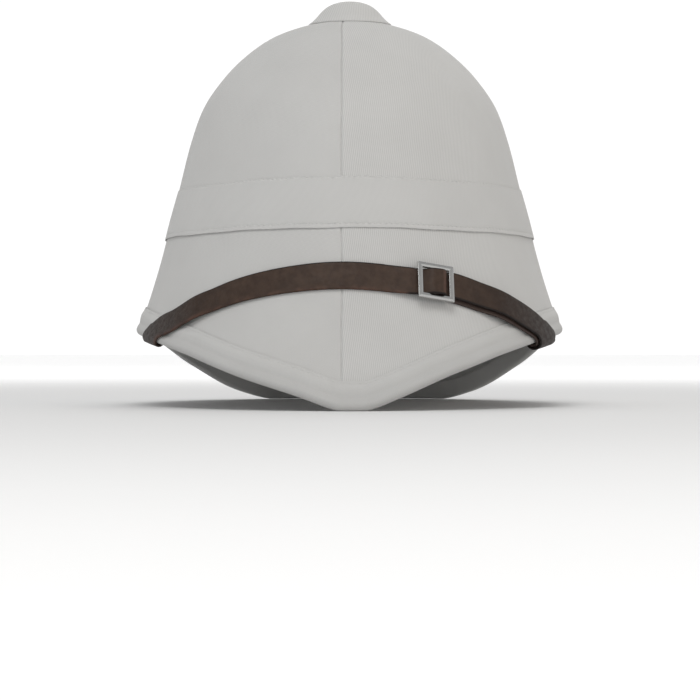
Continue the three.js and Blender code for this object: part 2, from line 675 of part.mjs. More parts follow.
// Wire staple inside the shell that an end of the strap hangs on
function strapHook(name, side) {
  const along = side * HOOK_ALONG;
  const bar = lowerLevel(along) + HOOK_TURN;
  const foot = BARE_SEAT + HOOK_FOOT_GAP;
  const cut = HOOK_CORNER * (1 - Math.SQRT1_2);
  const at = (across, level) => strapPoint(along, across, level);
  const leg = (end) => [
    at(end * HOOK_HALF_SPAN, foot),
    at(end * HOOK_HALF_SPAN, bar - HOOK_CORNER),
    at(end * (HOOK_HALF_SPAN - cut), bar - cut),
    at(end * (HOOK_HALF_SPAN - HOOK_CORNER), bar),
    at((end * HOOK_HALF_SPAN) / 2, bar),
  ];
  const wire = new THREE.CatmullRomCurve3([...leg(-1), at(0, bar), ...leg(1).reverse()]);
  const section = new THREE.Shape().absarc(0, 0, HOOK_WIRE_RADIUS, 0, 2 * Math.PI);
  const options = { steps: WIRE_STEPS, curveSegments: 4, extrudePath: wire };
  return piece(name, new THREE.ExtrudeGeometry(section, options), STEEL);
}

const helmet = new THREE.Group();
helmet.add(
  shell(),
  crownBand(),
  brimBinding(),
  topButton(),
  chinStrap(),
  slideBuckle(),
  strapHook('strap_hook_left', 1),
  strapHook('strap_hook_right', -1),
);

export default helmet;
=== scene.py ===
from collections import namedtuple

import bpy
import numpy as np
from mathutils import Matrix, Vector, noise
from numpy import cos, linspace, pi, radians, sin


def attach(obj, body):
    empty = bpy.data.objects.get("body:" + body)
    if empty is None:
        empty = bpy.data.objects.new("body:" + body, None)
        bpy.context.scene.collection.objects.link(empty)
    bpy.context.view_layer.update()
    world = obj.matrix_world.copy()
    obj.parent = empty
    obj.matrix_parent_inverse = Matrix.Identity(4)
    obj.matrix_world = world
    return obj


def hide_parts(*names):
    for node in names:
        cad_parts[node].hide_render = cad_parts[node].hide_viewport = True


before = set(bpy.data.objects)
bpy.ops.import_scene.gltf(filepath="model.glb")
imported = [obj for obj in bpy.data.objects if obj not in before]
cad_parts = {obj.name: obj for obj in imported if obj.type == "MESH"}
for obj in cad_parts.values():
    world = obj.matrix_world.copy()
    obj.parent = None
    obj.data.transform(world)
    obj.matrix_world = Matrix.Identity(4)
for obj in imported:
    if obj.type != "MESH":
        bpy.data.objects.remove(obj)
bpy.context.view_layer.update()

# White cloth-covered pith helmet with a leather chin strap worn up over the front peak.
# Metres, +Z up, front towards -Y, wearer's left towards +X.

# The whole helmet
BRIM_WIDTH = 0.244
BRIM_LENGTH = 0.336
PEAK_FLARE = 0.37  # 0 is a straight wall, 1 starts upright and sweeps out
SIDE_FLARE = 0.2
REAR_SQUARENESS = 2.2  # 2 is an ellipse in plan
BAND_FOOT = 0.0956
BAND_HEIGHT = 0.0271
BAND_DROOP = 0.0013
BAND_DROOP_ANGLES = radians([5, 50])
BAND_ASKEW = 0.0003  # higher on the wearer's left
PEAK_TURN = radians(2.75)  # its point lies to the wearer's left
PEAK_TURN_ANGLES = radians([8, 30])

# Walls and trim. Levels are distances from the middle surface of the shell's wall.
SHELL_WALL = 0.003
CLOTH = 0.0012
GAP = 0.0003
FACE = SHELL_WALL / 2
TRIM_SEAT = FACE + GAP
TRIM_FACE = TRIM_SEAT + CLOTH
BINDING_OUTSIDE = 0.0125
BINDING_INSIDE = 0.010
FOOT_ANGLE = radians(25)  # half of the flat that the brim stands on

# Chin strap, slide and hooks
STRAP_WIDTH = 0.0154
STRAP_THICKNESS = 0.0015
STRAP_STAND_OFF = 0.0006
STRAP_TAPER = 0.001  # narrower towards the right hook
STRAP_TAPER_ALONG = (0.005, 0.085)
STRAP_SLIP_UP = 0.0008  # across, where two layers lie on each other
STRAP_SLIP_DOWN = 0.0010
STRAP_SLIPS = (0.0041, 0.0123)  # left of the slide
STRAP_SLIPS_UNTIL = 0.0164
STRAP_SEWN_END = 0.0012
STRAP_SHOULDER = 0.0036
STRAP_SPARE_END = 0.018  # past the right hook
STRAP_COMES_DOWN = (0.008, 0.022)  # above the binding, on to the bare cover
STRAP_CLIMB = (0.0266, 0.0092)  # right of the slide, on to the doubled end
STRAP_LEAN = (0.042, 0.0078)  # before the brim's edge
STRAP_BRIDGE_RISE = 0.0006  # where it spans the hollow of the brim's flare
STRAP_BRIDGE_FROM = 0.025
SLIDE_ANGLE = radians(25.1)
SLIDE_TILT = radians(-2.5)  # turned further than the strap's slope
SLIDE_LENGTH = 0.0205
SLIDE_HEIGHT = 0.0204
SLIDE_BAR = 0.00265
SLIDE_PINCH = 0.0004
SLIDE_PINCH_UNTIL = 0.0144
SLIDE_THICKNESS = 0.002
SLIDE_PIN_RADIUS = 0.0007
SLIDE_GRIP = 0.0308  # how far the strap turns with it
HOOK_WIRE_RADIUS = 0.0012
HOOK_HALF_SPAN = 0.010
HOOK_CORNER = 0.002
HOOK_CLEARANCE = 0.0005
HOOK_INSET = 0.008
HOOK_FOOT_GAP = 0.0001

# Oval sections of the crown's wall, from the top down to the foot of the band
Section = namedtuple("Section", "half_width half_length height")
CROWN_SECTIONS = [Section(*row) for row in (
    (0.0060, 0.0060, 0.2188), (0.0150, 0.0150, 0.2178), (0.0273, 0.0280, 0.2151),
    (0.0452, 0.0510, 0.2079), (0.0604, 0.0720, 0.1968), (0.0712, 0.0860, 0.1857),
    (0.0826, 0.1005, 0.1690), (0.0896, 0.1095, 0.1495), (0.0962, 0.1180, 0.1236),
    (0.1033, 0.1260, BAND_FOOT),
)]

# Height of the brim's edge above the floor, by degrees round from the front
Rise = namedtuple("Rise", "angle rise")
EDGE_RISE = [Rise(*row) for row in (
    (0, 0), (2.75, 0), (5, 0.0011), (7.6, 0.003), (10, 0.0049), (15.2, 0.0088), (23, 0.0146),
    (30, 0.0196), (45, 0.0292), (60, 0.0356), (75, 0.0392), (90, 0.0405), (105, 0.0365),
    (125, 0.0215), (145, 0.005), (157, 0), (180, 0),
)]

# Half of the strap's way, by degrees round from the front, height, and how much higher it lies on
# the wearer's left than halfway between both sides
Way = namedtuple("Way", "angle height skew")
STRAP_WAY = [Way(*row) for row in (
    (0, 0.0692, 0), (9, 0.0683, 0), (20, 0.0654, 0), (30, 0.0619, 0.0009), (40, 0.0556, 0.0014),
    (50, 0.0467, 0.0017), (55.5, 0.0425, 0.0008), (59, 0.0387, 0.0006), (64, 0.0302, 0.0004),
    (84, -0.0065, 0),
)]

# The button's outline from the foot of its skirt to the top of its dome
Outline = namedtuple("Outline", "radius height")
BUTTON_OUTLINE = [Outline(*row) for row in (
    (0.0239, 0.2185), (0.0217, 0.2202), (0.0196, 0.2223), (0.0156, 0.2267), (0.0118, 0.2294),
    (0.0062, 0.2313), (0.0, 0.2319),
)]

# Step that directions are measured over, in radians, metres or ways down the wall
SMALL_STEP = 1e-3


# Curves

def together(*values):
    """The values as arrays of one shape."""
    return np.broadcast_arrays(*(np.asarray(value, float) for value in values))


def smoothstep(value, low, high):
    t = np.clip((np.asarray(value, float) - low) / (high - low), 0, 1)
    return t * t * (3 - 2 * t)


def bell(distance, width):
    return np.exp(-((np.asarray(distance, float) / width) ** 2))


def cubic(t, value, step, start, end):
    """Curve from a value over a step, with its slopes at both ends."""
    return value + t * (start + t * (3 * step - 2 * start - end + t * (start + end - 2 * step)))


def unit(vectors):
    return vectors / np.linalg.norm(vectors, axis=-1, keepdims=True)


def dot(a, b):
    return np.sum(a * b, axis=-1, keepdims=True)


def smooth_line(points, per_span=200):
    """Many points along the centripetal curve through a few."""
    points = np.asarray(points, float)
    first = 2 * points[0] - points[1]
    last = 2 * points[-1] - points[-2]
    p = np.vstack([first, points, last])
    knots = np.sqrt(np.linalg.norm(np.diff(p, axis=0), axis=1))
    t = linspace(0, 1, per_span, endpoint=False)[:, None]
    spans = []
    for i in range(1, len(p) - 2):
        before, here, after = knots[i - 1:i + 2]
        step = p[i + 1] - p[i]
        start = (p[i] - p[i - 1]) / before - (p[i + 1] - p[i - 1]) / (before + here) + step / here
        end = step / here - (p[i + 2] - p[i]) / (here + after) + (p[i + 2] - p[i + 1]) / after
        spans.append(cubic(t, p[i], step, start * here, end * here))
    return np.vstack([*spans, points[-1:]])


def run_length(points, axis=0):
    """Length walked up to each point of a line of points."""
    steps = np.linalg.norm(np.diff(points, axis=axis), axis=-1)
    start = np.zeros_like(np.take(steps, [0], axis=axis))
    return np.concatenate([start, np.cumsum(steps, axis=axis)], axis=axis)


def evenly(points, count):
    """As many points as asked, evenly along a line of points."""
    walked = run_length(points)
    at = linspace(0, walked[-1], count)
    return np.stack([np.interp(at, walked, points[:, k]) for k in range(points.shape[1])], axis=1)


# The helmet's wall

DEPTH_COLUMNS = 721
DEPTH_RUNGS = 7

crown_line = smooth_line(CROWN_SECTIONS)
crown_share = run_length(crown_line)
crown_share /= crown_share[-1]


def crown_section(down):
    return [np.interp(down, crown_share, crown_line[:, k]) for k in range(3)]


def rise_slopes():
    """The edge's rows with its slope at each, level where it turns."""
    angles, rises = np.transpose(EDGE_RISE)
    slopes = np.diff(rises) / np.diff(angles)
    before = np.concatenate([[0], slopes])
    after = np.concatenate([slopes, [0]])
    total = np.where(before * after > 0, before + after, 1)
    return angles, rises, np.where(before * after > 0, 2 * before * after / total, 0)


RISE_ANGLES, RISES, RISE_SLOPES = rise_slopes()


def from_front(angle):
    """The same angle between -pi and pi."""
    return (np.asarray(angle, float) + pi) % (2 * pi) - pi


def edge_rise(angle):
    """Height of the brim's edge, by a cubic that never overshoots its rows."""
    turned = from_front(angle)
    aside = PEAK_TURN * (1 - smoothstep(np.abs(turned), *PEAK_TURN_ANGLES))
    degrees = np.degrees(np.abs(turned - aside))
    i = np.clip(np.searchsorted(RISE_ANGLES, degrees, side="right") - 1, 0, len(RISES) - 2)
    span = RISE_ANGLES[i + 1] - RISE_ANGLES[i]
    t = np.clip((degrees - RISE_ANGLES[i]) / span, 0, 1)
    rise = RISES[i + 1] - RISES[i]
    return cubic(t, RISES[i], rise, RISE_SLOPES[i] * span, RISE_SLOPES[i + 1] * span)


def edge_point(angle):
    """Middle of the shell's wall at the brim's edge."""
    power = np.where(cos(angle) < 0, 2 / REAR_SQUARENESS, 1)
    x = np.sign(sin(angle)) * np.abs(sin(angle)) ** power
    y = -np.sign(cos(angle)) * np.abs(cos(angle)) ** power
    z = edge_rise(angle) + TRIM_FACE * cos(FOOT_ANGLE)
    return np.stack([(BRIM_WIDTH / 2 - TRIM_FACE) * x, (BRIM_LENGTH / 2 - TRIM_FACE) * y, z], axis=-1)


def wall_middle(angle, down):
    """Middle of the shell's wall. down is 0 at the top, 1 at the band's foot and 2 at the edge."""
    angle, down = together(angle, down)
    half_width, half_length, height = crown_section(np.clip(down, 0, 1))
    foot = np.stack([half_width * sin(angle), -half_length * cos(angle), height], axis=-1)
    drop = np.maximum(down - 1, 0)
    flare = SIDE_FLARE + (PEAK_FLARE - SIDE_FLARE) * cos(angle) ** 2
    spread = drop * (1 - flare + flare * drop)
    return foot + (edge_point(angle) - foot) * np.stack([spread, spread, drop], axis=-1)


def round_wall(angle, down):
    """Small way round the wall."""
    return wall_middle(angle + SMALL_STEP, down) - wall_middle(angle - SMALL_STEP, down)


def wall_frame(angle, down):
    """Directions at a point of the wall: out of it, and off its lower end."""
    along = unit(round_wall(angle, down))
    above = np.maximum(down - SMALL_STEP, 0)
    falling = wall_middle(angle, down + SMALL_STEP) - wall_middle(angle, above)
    out = unit(np.cross(falling, along))
    return out, np.cross(along, out)


def wall_at(angle, down, level):
    angle, down, level = together(angle, down, level)
    out, _ = wall_frame(angle, down)
    return wall_middle(angle, down) + out * level[..., None]


def edge_round(angle, turn, radius):
    """Round that wraps the brim's edge: turn is 0 on the outside and pi on the inside."""
    angle, turn, radius = together(angle, turn, radius)
    out, off = wall_frame(angle, np.full_like(angle, 2))
    spread = out * cos(turn)[..., None] + off * sin(turn)[..., None]
    return edge_point(angle) + radius[..., None] * spread


def brim_depths():
    angles = linspace(0, 2 * pi, DEPTH_COLUMNS)
    rungs = linspace(1, 2, DEPTH_RUNGS)
    return angles, run_length(wall_middle(angles[None, :], rungs[:, None]))[-1]


DEPTH_ANGLES, DEPTHS = brim_depths()


def brim_depth(angle):
    """Length of the wall below the band."""
    return np.interp(np.asarray(angle, float) % (2 * pi), DEPTH_ANGLES, DEPTHS)


def up_from_edge(angle, distance):
    """Place on the wall at a distance up from the brim's edge."""
    return 2 - distance / brim_depth(angle)


# Meshes

def new_object(name, data):
    thing = bpy.data.objects.new(name, data)
    bpy.context.scene.collection.objects.link(thing)
    return thing


def grid_quads(rows, columns, joined=False):
    """Faces of a grid whose columns close on themselves, and its rows too if they are joined."""
    r = np.arange(rows if joined else rows - 1)[:, None]
    c = np.arange(columns)[None, :]
    below = (r + 1) % rows
    beside = (c + 1) % columns
    corners = [r * columns + c, r * columns + beside, below * columns + beside, below * columns + c]
    return np.stack(np.broadcast_arrays(*corners), axis=-1).reshape(-1, 4)


def grid_corners(table):
    """The four corners of each cell of a table, in the order of grid_quads."""
    return np.stack([table[:-1, :-1], table[:-1, 1:], table[1:, 1:], table[1:, :-1]], axis=2)


def grid_uvs(u, v):
    """The corners' places for grid_quads, from tables with one more column, and row if joined."""
    return grid_corners(np.stack([u, v], axis=-1)).reshape(-1, 4, 2)


def end_caps(rows, columns, start=0):
    """Rings at both ends of a grid, and whether each is the first."""
    ring = start + np.arange(columns)
    return [(ring, True), (ring + (rows - 1) * columns, False)]


def ring_spread(side, other, sides):
    """Directions round each circle that two directions span."""
    turn = linspace(0, 2 * pi, sides, endpoint=False)[None, :, None]
    return side[:, None] * cos(turn) + other[:, None] * sin(turn)


def make_piece(name, points, quads, uvs, material, caps=()):
    """A smooth mesh of quads that face out, with caps on rings of points."""
    points = np.asarray(points, float).reshape(-1, 3)
    corners = points[quads]
    volume = np.sum(corners[:, 0] * np.cross(corners[:, 1], corners[:, 2]))
    volume += np.sum(corners[:, 0] * np.cross(corners[:, 2], corners[:, 3]))
    turn = volume < 0
    if turn:
        quads = quads[:, ::-1]
        uvs = uvs[:, ::-1]
    faces = quads.tolist()
    for ring, first in caps:
        faces.append(list(ring) if first != turn else list(ring)[::-1])
    mesh = bpy.data.meshes.new(name)
    mesh.from_pydata(points.tolist(), [], faces)
    layer = mesh.uv_layers.new(name="grain")
    flat = np.zeros((len(mesh.loops), 2), np.float32)
    flat[:4 * len(uvs)] = uvs.reshape(-1, 2)
    layer.data.foreach_set("uv", flat.ravel())
    mesh.shade_smooth()
    mesh.materials.append(material)
    piece = new_object(name, mesh)
    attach(piece, "root")
    return piece


def make_grid(name, points, uvs, material, joined=False):
    """A piece of rows of rings, joined to a loop or capped at both ends."""
    rows, columns = points.shape[:2]
    caps = () if joined else end_caps(rows, columns)
    return make_piece(name, points, grid_quads(rows, columns, joined), uvs, material, caps)


# Cloth cover of crown and brim

PANELS = 4
PANEL_ANGLE = 2 * pi / PANELS
PANEL_COLUMNS = 58
CROWN_ROWS = 74
BRIM_ROWS = 44
INSIDE_ROWS = 40
SEAM_DEPTH = 0.0006
SEAM_WIDTH = 0.0004
SEAM_WELT = 0.00006
SEAM_WELT_AWAY = 3 * SEAM_WIDTH
SEAM_WELT_WIDTH = 2 * SEAM_WIDTH
SEAM_WOBBLE = 0.00025
SEAM_WOBBLE_QUICK = 17
SEAM_WOBBLE_SLOW = 7.3
SEAM_DRIFT_FADES = 0.1
BUTTON_COVERS = 0.024
BINDING_COVERS = (1.85, 1.9)  # down the wall
WEFT_FINENESS = 1.9

# Columns beside a seam, as angles at a usual radius of the wall
USUAL_RADIUS = 0.1
SEAM_STEPS = np.array([0, 0.0002, 0.0004, 0.0007, 0.0011, 0.0017, 0.0026, 0.0040, 0.0060]) / USUAL_RADIUS

# How far the front seam lies to the wearer's right of the middle, by its way down the wall
Drift = namedtuple("Drift", "down drift")
SEAM_DRIFT = [Drift(0, 0.0042), Drift(0.5, 0.002), Drift(1, 0.0009), Drift(2, -0.0002)]

# Unevenness of stretched cloth
Ripple = namedtuple("Ripple", "size height")
COVER_RIPPLES = [Ripple(0.06, 0.00022), Ripple(0.012, 0.00004)]
BAND_RIPPLES = [Ripple(0.04, 0.00016)]


def cover_angles(down):
    """Angles of the cover's columns at each row, close together at the four seams: front, sides
    and rear. The columns near the front follow its seam."""
    middle = linspace(SEAM_STEPS[-1], PANEL_ANGLE - SEAM_STEPS[-1], PANEL_COLUMNS)
    panel = np.concatenate([SEAM_STEPS[:-1], middle, PANEL_ANGLE - SEAM_STEPS[-2:0:-1]])
    even = np.concatenate([panel + i * PANEL_ANGLE for i in range(PANELS)])[None, :]
    drift = np.interp(down, *np.transpose(SEAM_DRIFT))
    turn = drift / np.maximum(crown_section(np.minimum(down, 1))[0], BUTTON_COVERS)
    near_front = 1 - smoothstep(np.abs(from_front(even)), SEAM_DRIFT_FADES, PANEL_ANGLE)
    return even, even - turn * near_front


def cloth_ripple(points, ripples):
    """Small unevenness, the same on every run."""
    total = np.zeros(points.shape[:-1])
    for ripple in ripples:
        values = [noise.noise(Vector(point) / ripple.size) for point in points.reshape(-1, 3)]
        total += ripple.height * np.reshape(values, total.shape)
    return total


def seam_relief(even, angle, down):
    """Groove of the nearest panel seam, between two low welts."""
    scale = np.linalg.norm(round_wall(angle, down), axis=-1) / (2 * SMALL_STEP)
    seam = np.round(even / PANEL_ANGLE)
    quick = sin(down * SEAM_WOBBLE_QUICK + seam % PANELS)
    wobble = SEAM_WOBBLE * quick * sin(down * SEAM_WOBBLE_SLOW)
    away = (even - seam * PANEL_ANGLE) * scale - wobble
    welt = SEAM_WELT * bell(np.abs(away) - SEAM_WELT_AWAY, SEAM_WELT_WIDTH)
    return welt - SEAM_DEPTH * bell(away, SEAM_WIDTH)


def panel_uvs(points, foot_row):
    """Cloth coordinates in metres. The ribs run up and down on one panel, and the finer weft runs
    round on the next."""
    closed = np.concatenate([points, points[:, :1]], axis=1)
    around = run_length(closed, axis=1)
    up = run_length(closed, axis=0)
    up -= up[foot_row]
    columns = points.shape[1] // PANELS
    panel = np.repeat(np.arange(PANELS), columns)[None, :, None]
    seams = around[:-1, ::columns, None]
    rear = seams[:, PANELS // 2, None]
    start = np.where(panel == 0, seams[:, :1], np.where(panel == PANELS - 1, seams[:, -1:], rear))
    u = grid_corners(around) - start
    v = grid_corners(up)
    upright = panel % 2 == 0
    x = np.where(upright, u, v * WEFT_FINENESS)
    y = np.where(upright, v, u * WEFT_FINENESS)
    return np.stack([x, y], axis=-1).reshape(-1, 4, 2)


def helmet_cover(material):
    crown = linspace(0, 1, CROWN_ROWS)
    brim = linspace(1, 2, BRIM_ROWS)[1:]
    outside = np.concatenate([crown, brim])[:, None]
    inside = linspace(2, 0, INSIDE_ROWS)[:, None]
    even, angles = cover_angles(outside)
    relief = seam_relief(even, angles, np.broadcast_to(outside, angles.shape))
    relief = relief + cloth_ripple(wall_at(angles, outside, FACE), COVER_RIPPLES)
    shows = 1 - smoothstep(outside, *BINDING_COVERS)
    outer = wall_at(angles, outside, FACE + relief * shows)
    inner = wall_at(cover_angles(inside)[1], inside, -FACE)
    points = np.concatenate([outer, inner])
    uvs = panel_uvs(points, CROWN_ROWS - 1)
    cover = make_grid("helmet_cover", points, uvs, material)
    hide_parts("shell")


# Strips of cloth and their stitches

ROUND_STEPS = 2881
HOLE_SHARPNESS = 4
STITCH_SIDES = 6
STITCH_RINGS = 7
STITCH_SHOWS = (0.22, 0.78)  # shares of the step to the next stitch
STITCH_DIP = 0.0003
STITCH_DIP_LEAST = 0.35  # share that is left between two holes
STITCH_DIP_WIDTH = 0.0006
THREAD_RADIUS = 0.00022
THREAD_SINK = 0.0004
THREAD_PROUD = 0.3
THREAD_DIVE = 6
THREAD_TAPER = 8
THREAD_TIP = 0.05


def stitch_row(starts, ends, outs):
    """Threads that dip into the cloth at both ends: their points, quads and caps."""
    t = linspace(0, 1, STITCH_RINGS)
    from_middle = 2 * t - 1
    lift = THREAD_PROUD * THREAD_RADIUS - (THREAD_SINK + THREAD_RADIUS) * from_middle ** THREAD_DIVE
    steps = (ends - starts)[:, None] * t[None, :, None]
    middle = starts[:, None] + steps + outs[:, None] * lift[None, :, None]
    side = unit(np.cross(outs, unit(ends - starts)))
    radius = THREAD_RADIUS * np.sqrt(np.clip(1 - from_middle ** THREAD_TAPER, THREAD_TIP, 1))
    spread = ring_spread(side, outs, STITCH_SIDES)
    points = middle[:, :, None] + spread[:, None] * radius[None, :, None, None]
    firsts = np.arange(len(starts)) * STITCH_RINGS * STITCH_SIDES
    quads = (grid_quads(STITCH_RINGS, STITCH_SIDES)[None] + firsts[:, None, None]).reshape(-1, 4)
    caps = [cap for first in firsts for cap in end_caps(STITCH_RINGS, STITCH_SIDES, first)]
    return points, quads, caps


def make_stitching(name, angles, down_at, level, thread):
    """Stitches round the helmet, one from each angle to the next."""
    step = np.diff(np.append(angles, 2 * pi))
    first, last = (angles + share * step for share in STITCH_SHOWS)
    middle = angles + step / 2
    starts = wall_at(first, down_at(first), level)
    ends = wall_at(last, down_at(last), level)
    outs, _ = wall_frame(middle, down_at(middle))
    points, quads, caps = stitch_row(starts, ends, outs)
    uvs = np.zeros((len(quads), 4, 2))
    return make_piece(name, points, quads, uvs, thread, caps)


def make_strip(name, points, across, around, material):
    """A strip of cloth round the helmet, cut along its finer weft."""
    rows, columns = points.shape[:2]
    along = np.broadcast_to(linspace(0, around, columns + 1), (rows + 1, columns + 1))
    across = np.broadcast_to(across, along.shape)
    uvs = grid_uvs(across * WEFT_FINENESS, along * WEFT_FINENESS)
    return make_grid(name, points, uvs, material, joined=True)


def even_angles(down, count):
    """Angles that part a line round the helmet evenly, and its length."""
    dense = linspace(0, 2 * pi, ROUND_STEPS)
    walked = run_length(wall_at(dense, down, TRIM_FACE))
    at = np.arange(count) * walked[-1] / count
    return np.interp(at, walked, dense), walked[-1]


def needle_holes(columns, per_stitch):
    """1 at the columns where the needle went in and 0 halfway between."""
    return cos(pi * (np.arange(columns) % per_stitch) / per_stitch) ** HOLE_SHARPNESS


def stitch_pull(distance, hole):
    """How far stitches draw the cloth in, by distance from their line."""
    share = STITCH_DIP_LEAST + (1 - STITCH_DIP_LEAST) * hole
    return STITCH_DIP * share * bell(distance, STITCH_DIP_WIDTH)


# Crown band

BAND_STITCHES = 240
BAND_PER_STITCH = 6
BAND_EDGE_ROWS = 14
BAND_EDGE = 0.003
BAND_MIDDLE_ROWS = 14
BAND_FOLD_ROWS = 7
BAND_HANGS = 0.0008
BAND_LIP_THINS = 0.0006
BAND_TOP_THINS = 0.0010
BAND_LOW_RADIUS = 0.0003
BAND_HIGH_RADIUS = 0.0002
BAND_SWELL = 0.00015
BAND_STITCH_LINE = 0.0016
BAND_TOP_LINE = BAND_HEIGHT - 0.0007
BAND_TOP_DIP = 0.0004
BAND_TOP_WIDTH = 0.0004

# Unevenness of the band's edges round the helmet: slow waves of both, and a quick one of the top
Wave = namedtuple("Wave", "height count phase")
BAND_WAVES = [Wave(0.0002, 9, 0), Wave(0.00012, 23, 1)]
TOP_WAVE = 0.00012
TOP_WAVE_COUNTS = (97, 31)
TOP_DRAWN_IN = 0.00022
TOP_FADES = 6


def band_down(angle, height):
    """Place on the wall at a height of the band, which lies a little askew."""
    droop = BAND_DROOP * smoothstep(np.abs(from_front(angle)), *BAND_DROOP_ANGLES)
    lifted = height + BAND_ASKEW * sin(angle) - droop
    above_foot = np.interp(-BAND_FOOT - np.maximum(lifted, 0), -crown_line[:, 2], crown_share)
    return above_foot + np.maximum(-lifted, 0) / brim_depth(angle)


def band_face(height, hole):
    """Level of the band's outer face, which lies closest at its top."""
    share = np.clip((height + BAND_HANGS) / (BAND_HEIGHT + BAND_HANGS), 0, 1)
    thins = BAND_LIP_THINS + (BAND_TOP_THINS - BAND_LIP_THINS) * share
    pull = stitch_pull(height - BAND_STITCH_LINE, hole)
    pull = pull + BAND_TOP_DIP * hole * bell(height - BAND_TOP_LINE, BAND_TOP_WIDTH)
    return TRIM_FACE - thins + BAND_SWELL * sin(pi * share) - pull


def band_section():
    """Heights of the band's rows and their depth under its face."""
    low, high = BAND_LOW_RADIUS, BAND_HIGH_RADIUS
    turn = linspace(0, pi, BAND_FOLD_ROWS)
    lip = np.stack([low * (1 - sin(turn)) - BAND_HANGS, low * (1 + cos(turn))], axis=1)
    bottom, top = low - BAND_HANGS, BAND_HEIGHT - high
    heights = np.concatenate([
        linspace(bottom, bottom + BAND_EDGE, BAND_EDGE_ROWS)[1:],
        linspace(bottom + BAND_EDGE, top - BAND_EDGE, BAND_MIDDLE_ROWS)[1:],
        linspace(top - BAND_EDGE, top, BAND_EDGE_ROWS)[1:-1],
    ])
    face = np.stack([heights, 0 * heights], axis=1)
    fold = np.stack([BAND_HEIGHT - high * (1 - sin(turn)), high * (1 - cos(turn))], axis=1)
    return np.concatenate([lip, face, fold])


def band_sway(angle, height, hole):
    """Unevenness of the band's two edges. The top one is drawn in at each stitch."""
    share = np.clip(height / BAND_HEIGHT, 0, 1)
    slow = sum(wave.height * sin(angle * wave.count + wave.phase) for wave in BAND_WAVES)
    first, second = (sin(angle * count) for count in TOP_WAVE_COUNTS)
    quick = TOP_WAVE * first * second - TOP_DRAWN_IN * hole
    return slow + quick * share ** TOP_FADES


def crown_band(material, thread):
    columns = BAND_STITCHES * BAND_PER_STITCH
    angles, around = even_angles(1.0, columns)
    hole = needle_holes(columns, BAND_PER_STITCH)
    heights, depths = band_section().T[..., None]
    places = band_down(angles, heights + band_sway(angles, heights, hole))
    levels = band_face(heights, hole) - depths
    bare = wall_at(angles, places, levels)
    points = wall_at(angles, places, levels + cloth_ripple(bare, BAND_RIPPLES))
    across = np.concatenate([heights, heights[:1]])
    band = make_strip("crown_band_cloth", points, across, around, material)
    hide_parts("crown_band")
    stitching = make_stitching("crown_band_stitches", angles[::BAND_PER_STITCH],
                               lambda angle: band_down(angle, BAND_STITCH_LINE),
                               band_face(BAND_STITCH_LINE, 0.5), thread)


# Brim binding

BINDING_STITCHES = 330
BINDING_PER_STITCH = 3
BINDING_STITCH_LINE = BINDING_OUTSIDE - 0.0016
BINDING_FOLD_RADIUS = 0.00025
BINDING_THINS = 0.0007
BINDING_THINS_FROM = 0.6 * BINDING_OUTSIDE
BEAD_GROOVE = 0.0032
BEAD_GROOVE_DEPTH = 0.0005
BEAD_GROOVE_WIDTH = 0.0016
BINDING_RIDGE = 0.0075
BINDING_RIDGE_HEIGHT = 0.00012
BINDING_RIDGE_WIDTH = 0.0012

LoopRows = namedtuple("LoopRows", "fold face edge inside hem under_inside under_edge under_face")
BINDING_ROWS = LoopRows(6, 22, 17, 6, 5, 4, 7, 5)


def binding_face(distance, hole):
    """Level of the binding's outer face, by distance up from the brim's edge."""
    groove = BEAD_GROOVE_DEPTH * bell(distance - BEAD_GROOVE, BEAD_GROOVE_WIDTH)
    pull = stitch_pull(distance - BINDING_STITCH_LINE, hole)
    ridge = BINDING_RIDGE_HEIGHT * bell(distance - BINDING_RIDGE, BINDING_RIDGE_WIDTH)
    thin = BINDING_THINS * smoothstep(distance, BINDING_THINS_FROM, BINDING_OUTSIDE)
    return TRIM_FACE - groove - pull + ridge - thin


def binding_loop():
    """The section as rows of kind, place and level: down the outside, round the edge, up the
    inside, and back under the cloth. A place is a distance up from the edge, or a turn round it."""
    fold, hem = BINDING_FOLD_RADIUS, CLOTH / 2
    outside, inside = BINDING_OUTSIDE - fold, BINDING_INSIDE - hem
    count = BINDING_ROWS
    rows = []
    for t in linspace(pi, 0, count.fold):
        rows.append(("fold", outside + fold * sin(t), fold * (cos(t) - 1)))
    rows += [("face", d, 0) for d in linspace(outside, 0, count.face)[1:]]
    rows += [("round", t, TRIM_FACE) for t in linspace(0, pi, count.edge)[1:]]
    rows += [("wall", d, -TRIM_FACE) for d in linspace(0, inside, count.inside)[1:]]
    for t in linspace(0, pi, count.hem)[1:]:
        rows.append(("wall", inside + hem * sin(t), hem * (1 - cos(t)) - TRIM_FACE))
    rows += [("wall", d, -TRIM_SEAT) for d in linspace(inside, 0, count.under_inside)[1:]]
    rows += [("round", t, TRIM_SEAT) for t in linspace(pi, 0, count.under_edge)[1:]]
    rows += [("wall", d, TRIM_SEAT) for d in linspace(0, outside, count.under_face)[1:-1]]
    return rows


def binding_row(kind, place, level, angles, hole):
    if kind == "round":
        return edge_round(angles, place, level)
    if kind == "face":
        level = binding_face(place, hole)
    if kind == "fold":
        level = binding_face(BINDING_OUTSIDE, 0.0) + level
    return wall_at(angles, up_from_edge(angles, place), level)


